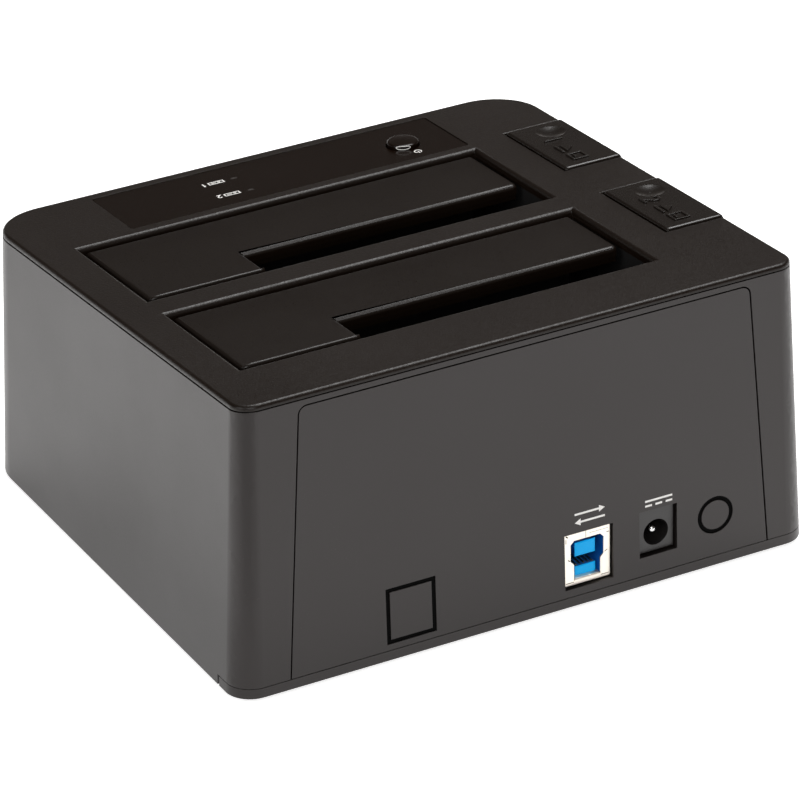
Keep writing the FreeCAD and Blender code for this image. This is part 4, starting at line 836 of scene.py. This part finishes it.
def lip_grid(flap):
    """Half an oval along x: v = middle + half cos t, w = level + rise sin t, cut off just under
    the flap's face. Both shrink by the root of 1 - 0.98 u^16 towards the corner, u from 0 to 1."""
    start, end, rear = free_edge(flap)
    start, end = start + SLOT_MARGIN, end + CORNER_REACH
    run = np.linspace(-1, 1, 29)[:, None]
    turn = np.linspace(0, 2 * math.pi, 28, endpoint=False)
    fade = np.sqrt(1 - 0.98 * np.maximum(run, 0) ** 16)
    x = (start + end) / 2 + (end - start) / 2 * run + 0 * turn
    v = rear - LIP_HALF - LIP_INSET + LIP_HALF * np.cos(turn) * fade
    w = lid_height(flap) + LIP_RISE * np.maximum(np.sin(turn), -LIP_SINK) * fade
    return np.stack([x, v, w], -1)


for flap in ("flap_1", "flap_2"):
    lip = tubes(flap.replace("flap", "flap_lip"), [(lip_grid(flap), False)], on_lid, smooth=True)
    dress(lip, flap, "flap_plastic", "flap_plastic")

# %% [markdown]
# ## The data port
#
# The receptacle is a folded metal shell round a blue insert. The folds leave a seam above the
# mouth and notches at the corners, the sheet turns in below the mouth as a small lip, and the
# two tongues end in slightly domed faces. Their blue is the insert's, painted paler as painted
# light on the faces that catch the lamp. The folds are too fine for the solid, so they are thin
# dark bars on the shell's face, drawn from the middle of the mouth.

# %% Folds of the data port
port_low, port_high = (np.array(corner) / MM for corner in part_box("usb_shell"))
port_x = (port_low[0] + port_high[0]) / 2
port_face, port_z = port_high[1], 12.6
SEAM = (-0.05, 0.015)


def on_port(points):
    """(x, z, lift) to world on the shell's face, measured from the middle of the mouth."""
    x, z, lift = np.moveaxis(np.asarray(points, float), -1, 0)
    return np.stack([port_x + x, port_face + lift, port_z + z], -1) * MM


seams = [
    (0.35, 4.75, 0.35, 6.55, 0.1), (5.0, 5.9, 5.55, 6.35, 0.3), (5.5, 4.4, 5.5, 5.6, 0.16),
    (-5.0, 4.7, -5.7, 4.7, 0.16), (-4.5, -0.2, -5.2, 0.2, 0.2), (4.4, -0.3, 5.0, 0.1, 0.2),
    (3.5, -5.9, 5.6, -5.9, 0.16), (-3.5, -5.9, -5.6, -5.9, 0.16), (-0.6, 5.7, -5.4, 5.7, 0.07),
]
folds = [bar([(x, z), (end_x, end_z)], width, *SEAM) for x, z, end_x, end_z, width in seams]
dress(tubes("usb_folds", folds, on_port), "casing", slot_of_node["usb_shell"], "seam_black_and_painted_shade")

# %% The turned-in lip
BEND, HALF_SHEET = 0.35, 0.1


def lip_section(count=9):
    """Depth and height of the sheet: a quarter turn from the face inwards and a short straight
    run, with half the sheet's thickness to each side of that line."""
    angle = np.linspace(0, math.pi / 2, count)
    bend = np.stack([-BEND * (1 - np.cos(angle)) - 0.02, BEND * np.sin(angle)], -1)
    line = np.vstack([bend, bend[-1] + (-0.75, 0.25)])
    runs = np.gradient(line, axis=0)
    side = np.stack([-runs[:, 1], runs[:, 0]], -1) / np.linalg.norm(runs, axis=1, keepdims=True)
    return np.vstack([line + side * HALF_SHEET, (line - side * HALF_SHEET)[::-1]])


section = lip_section()
spread = np.array([-3.3, -3.1, 3.1, 3.3])
taper = np.array([0.35, 0.0, 0.0, 0.35])
depth = np.broadcast_to(section[:, 0], (len(spread), len(section)))
rise = section[:, 1] * (1 - taper[:, None]) - 5.55
turned = np.stack([np.broadcast_to(spread[:, None], depth.shape), rise, depth], -1)
dress(tubes("usb_lip", [(turned, False)], on_port), "casing", slot_of_node["usb_shell"], "nickel")

# %% Domed ends of the tongues


def dome(half_x, low_z, high_z, rise, count=17):
    """A cushion over a rectangle: lift = rise (1 - |u|^8)(1 - |t|^8), u and t from -1 to 1."""
    u = np.sin(np.linspace(-math.pi / 2, math.pi / 2, count))
    across, upward = np.meshgrid(u, u, indexing="ij")
    lift = rise * (1 - np.abs(across) ** 8) * (1 - np.abs(upward) ** 8)
    z = (low_z + high_z) / 2 + upward * (high_z - low_z) / 2
    return np.stack([across * half_x, z, lift], -1)


def rim(size):
    """Numbers of the points round the edge of a size x size grid, in order."""
    last = size - 1
    there = np.concatenate([np.arange(size), np.arange(1, size) * size + last])
    back = np.concatenate([last * size + last - 1 - np.arange(last), np.arange(last - 1, 0, -1) * size])
    return np.concatenate([there, back])


# Half the width, the lower and the upper edge of each tongue, from the middle of the mouth.
TONGUES = ((2.65, -0.1, 3.4), (2.7, -5.3, -2.65))
TONGUE_DEPTH, TONGUE_DOME = -1.1, 0.22
points, faces = [], []
for half_x, low_z, high_z in TONGUES:
    front = dome(half_x, low_z, high_z, TONGUE_DOME)
    back = front * (1, 1, 0) - (0, 0, 0.01)
    size = front.shape[0]
    for surface in (front, back):
        start = sum(len(part) for part in points)
        points.append(on_port(surface + (0, 0, TONGUE_DEPTH)).reshape(-1, 3))
        faces += grid_faces(size, size, start=start)
    outer, inner = rim(size) + start - size * size, rim(size) + start
    faces += np.stack([outer, inner, np.roll(inner, -1), np.roll(outer, -1)], -1).tolist()
mesh = bpy.data.meshes.new("usb_tongue_ends")
mesh.from_pydata(np.concatenate(points).tolist(), [], faces)
outward(mesh)
mesh.polygons.foreach_set("use_smooth", np.full(len(mesh.polygons), True))
# The tongue ends wear the blue that is painted paler, as painted light.
dress(link(mesh.name, mesh), "casing", slot_of_node["usb_insert"], "tongue_blue_painted_lighter")

# %% [markdown]
# ## The power inlet's pin
#
# The centre pin is a turned part with a domed tip, so it is a surface of revolution: a profile
# of radius against length, swept round the pin's axis. The solid's pin ends flat, and this one
# stands for it. Its size and place are read from the solid's box.

# %% Centre pin
pin_low, pin_high = (np.array(corner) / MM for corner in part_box("jack_pin"))
pin_radius = (pin_high[0] - pin_low[0]) / 2
pin_axis = (pin_low + pin_high) / 2
tip = np.linspace(0, math.pi / 2, 9)
tip_profile = np.stack([np.cos(tip), np.sin(tip) - 1], -1) * pin_radius + (0, pin_high[1])
profile = np.vstack([[(0.0, pin_low[1]), (pin_radius, pin_low[1])], tip_profile])
profile[0, 0] = profile[-1, 0] = 1e-4
turn = np.linspace(0, 2 * math.pi, 32, endpoint=False)
radius, length = profile[:, :1], profile[:, 1:]
pin_grid = np.stack([pin_axis[0] + radius * np.cos(turn), length + 0 * turn,
                     pin_axis[2] + radius * np.sin(turn)], -1)
pin = tubes("jack_pin_turned", [(pin_grid, False)], lambda points: points * MM, smooth=True)
dress(pin, "casing", slot_of_node["jack_pin"], "pin_nickel", "jack_pin")

# %% [markdown]
# ## Floor, light and camera
#
# The object stands on a plain white floor. Its sides mirror that floor, which is why the wall on
# the left looks pale although it is black, while the lid mirrors the dim middle of the room and
# stays dark. A broad lamp overhead draws the bright lines along the rounded edges, and a lamp
# behind the camera lights the ports and the printing. Beside the corner that faces the camera the
# floor glows less for mirrors only: painted shade in that corner's reflection, standing for the
# dark card a photographer would hold there.

# %% Floor
# Glow where seen and where mirrored, and the painted shade for mirrors near the corner facing the
# camera, with where it sets in along x and y in metres.
LIFT_SEEN, LIFT_MIRRORED, MIRROR_SHADE_PAINTED = 0.75, 0.85, 0.60
PAINTED_SHADE_X, PAINTED_SHADE_Y = (0.05, 0.10), (0.07, 0.13)


def floor_finish():
    """Plain white that also glows: by one share where it is seen, by another where it is mirrored,
    less a patch of painted shade for mirrors only, which sets in softly along x and y."""
    paint = Paint("plain floor")
    camera, glossy, clear = (paint.node("ShaderNodeLightPath", {}, {}, f"Is {kind} Ray")
                             for kind in ("Camera", "Glossy", "Transmission"))
    x, y = (paint.node("ShaderNodeSeparateXYZ", {}, {0: paint.place()}, axis) for axis in "XY")
    # Painted shade: the floor glows less for mirrors near the corner that faces the camera.
    painted_shade_patch = x.between(*PAINTED_SHADE_X) * y.between(*PAINTED_SHADE_Y)
    lift = (camera + clear) * LIFT_SEEN + glossy * (LIFT_MIRRORED - MIRROR_SHADE_PAINTED * painted_shade_patch)
    glow = paint.blend(lift.clamped(), (0, 0, 0), (1, 1, 1))
    return paint.set(Base_Color=(0.8, 0.8, 0.8, 1.0), Roughness=0.9, Specular_IOR_Level=0.0,
                     Emission_Color=glow, Emission_Strength=1.0)


HALF_FLOOR = 4.0
corners = np.array([(-1, -1, 0), (1, -1, 0), (1, 1, 0), (-1, 1, 0)]) * HALF_FLOOR
mesh = bpy.data.meshes.new("floor")
mesh.from_pydata(corners.tolist(), [], [(0, 1, 2, 3)])
mesh.materials.append(floor_finish())
link("floor", mesh)
print("floor:", 2 * HALF_FLOOR, "m wide")

# %% Sky
# Mirrors see a room that is bright at the horizon, dim at mid height and paler overhead. The
# camera sees white.
world = bpy.data.worlds.new("studio")
bpy.context.scene.world = world
world.use_nodes = True
world.node_tree.nodes.clear()
sky = Tree(world.node_tree)
toward = sky.node("ShaderNodeTexCoord", {}, {}, "Generated")
height = sky.node("ShaderNodeSeparateXYZ", {}, {0: toward}, "Z")
levels = [(0.0, 0.80), (0.06, 0.30), (0.16, 0.10), (0.60, 0.10), (1.0, 0.40)]
warm = (1.0, 0.92, 0.86)
stops = [(at, shade(warm, level)) for at, level in levels]
glow = sky.node("ShaderNodeValToRGB", {"stops": stops}, {0: height})
rays = [sky.node("ShaderNodeLightPath", {}, {}, output)
        for output in ("Is Camera Ray", "Is Transmission Ray")]
colour = sky.blend((rays[0] + rays[1]).clamped(), glow, (1.0, 1.0, 1.0))
background = sky.node("ShaderNodeBackground", {}, {"Color": colour, "Strength": 1.0})
output = world.node_tree.nodes.new("ShaderNodeOutputWorld")
sky.feed(output.inputs["Surface"], background)
print("sky nodes:", len(world.node_tree.nodes))

# %% Lamps


def lamp(name, place, target, sides, power):
    """A rectangular area lamp that faces target; places and sides are in metres."""
    data = bpy.data.lights.new(name, "AREA")
    data.shape, data.energy = "RECTANGLE", power
    data.size, data.size_y = sides
    made = bpy.data.objects.new(name, data)
    made.location = place
    made.rotation_mode = "QUATERNION"
    made.rotation_quaternion = (Vector(target) - Vector(place)).to_track_quat("-Z", "Y")
    bpy.context.scene.collection.objects.link(made)
    print(name, power, "W")


MIDDLE = (0, 0, 0.03)
lamp("overhead softbox", (-0.68, -0.28, 1.4), MIDDLE, (1.35, 0.42), 25.0)
lamp("left softbox", (1.4, 0.3, 0.7), MIDDLE, (0.9, 0.9), 7.0)
lamp("rear fill", (0.5, 1.5, 1.0), MIDDLE, (0.9, 0.9), 14.0)

# %% [markdown]
# ## The camera
#
# The camera's place, direction and lens were fitted together to about ninety points read from the
# photograph. It looks down by 28 degrees from the rear left with a long lens, so upright edges
# hardly converge. Aiming it by eye would be quicker, but the fit puts each edge on its pixel.

# %% Camera
AZIMUTH, ELEVATION, ROLL = (math.radians(angle) for angle in (152.2328, 27.8636, -1.3630))
CAMERA_PLACE = Vector((0.49723, 0.95052, 0.59331))
FOCAL_PIXELS, FRAME_PIXELS = 5223.9, 800

back = Vector((math.sin(AZIMUTH) * math.cos(ELEVATION), -math.cos(AZIMUTH) * math.cos(ELEVATION),
               math.sin(ELEVATION)))
level_right = Vector((math.cos(AZIMUTH), math.sin(AZIMUTH), 0.0))
level_up = back.cross(level_right)
right = level_right * math.cos(ROLL) + level_up * math.sin(ROLL)
up = level_up * math.cos(ROLL) - level_right * math.sin(ROLL)
camera_data = bpy.data.cameras.new("camera")
camera_data.sensor_width = 36.0
camera_data.lens = FOCAL_PIXELS / FRAME_PIXELS * camera_data.sensor_width
camera_data.clip_start, camera_data.clip_end = 0.05, 50.0
camera = bpy.data.objects.new("camera", camera_data)
turn_to_view = Matrix((right, up, back)).transposed().to_4x4()
camera.matrix_world = Matrix.Translation(CAMERA_PLACE) @ turn_to_view
bpy.context.scene.collection.objects.link(camera)
bpy.context.scene.camera = camera
bpy.context.scene.view_settings.view_transform = "Standard"
print("lens:", round(camera_data.lens, 1), "mm")
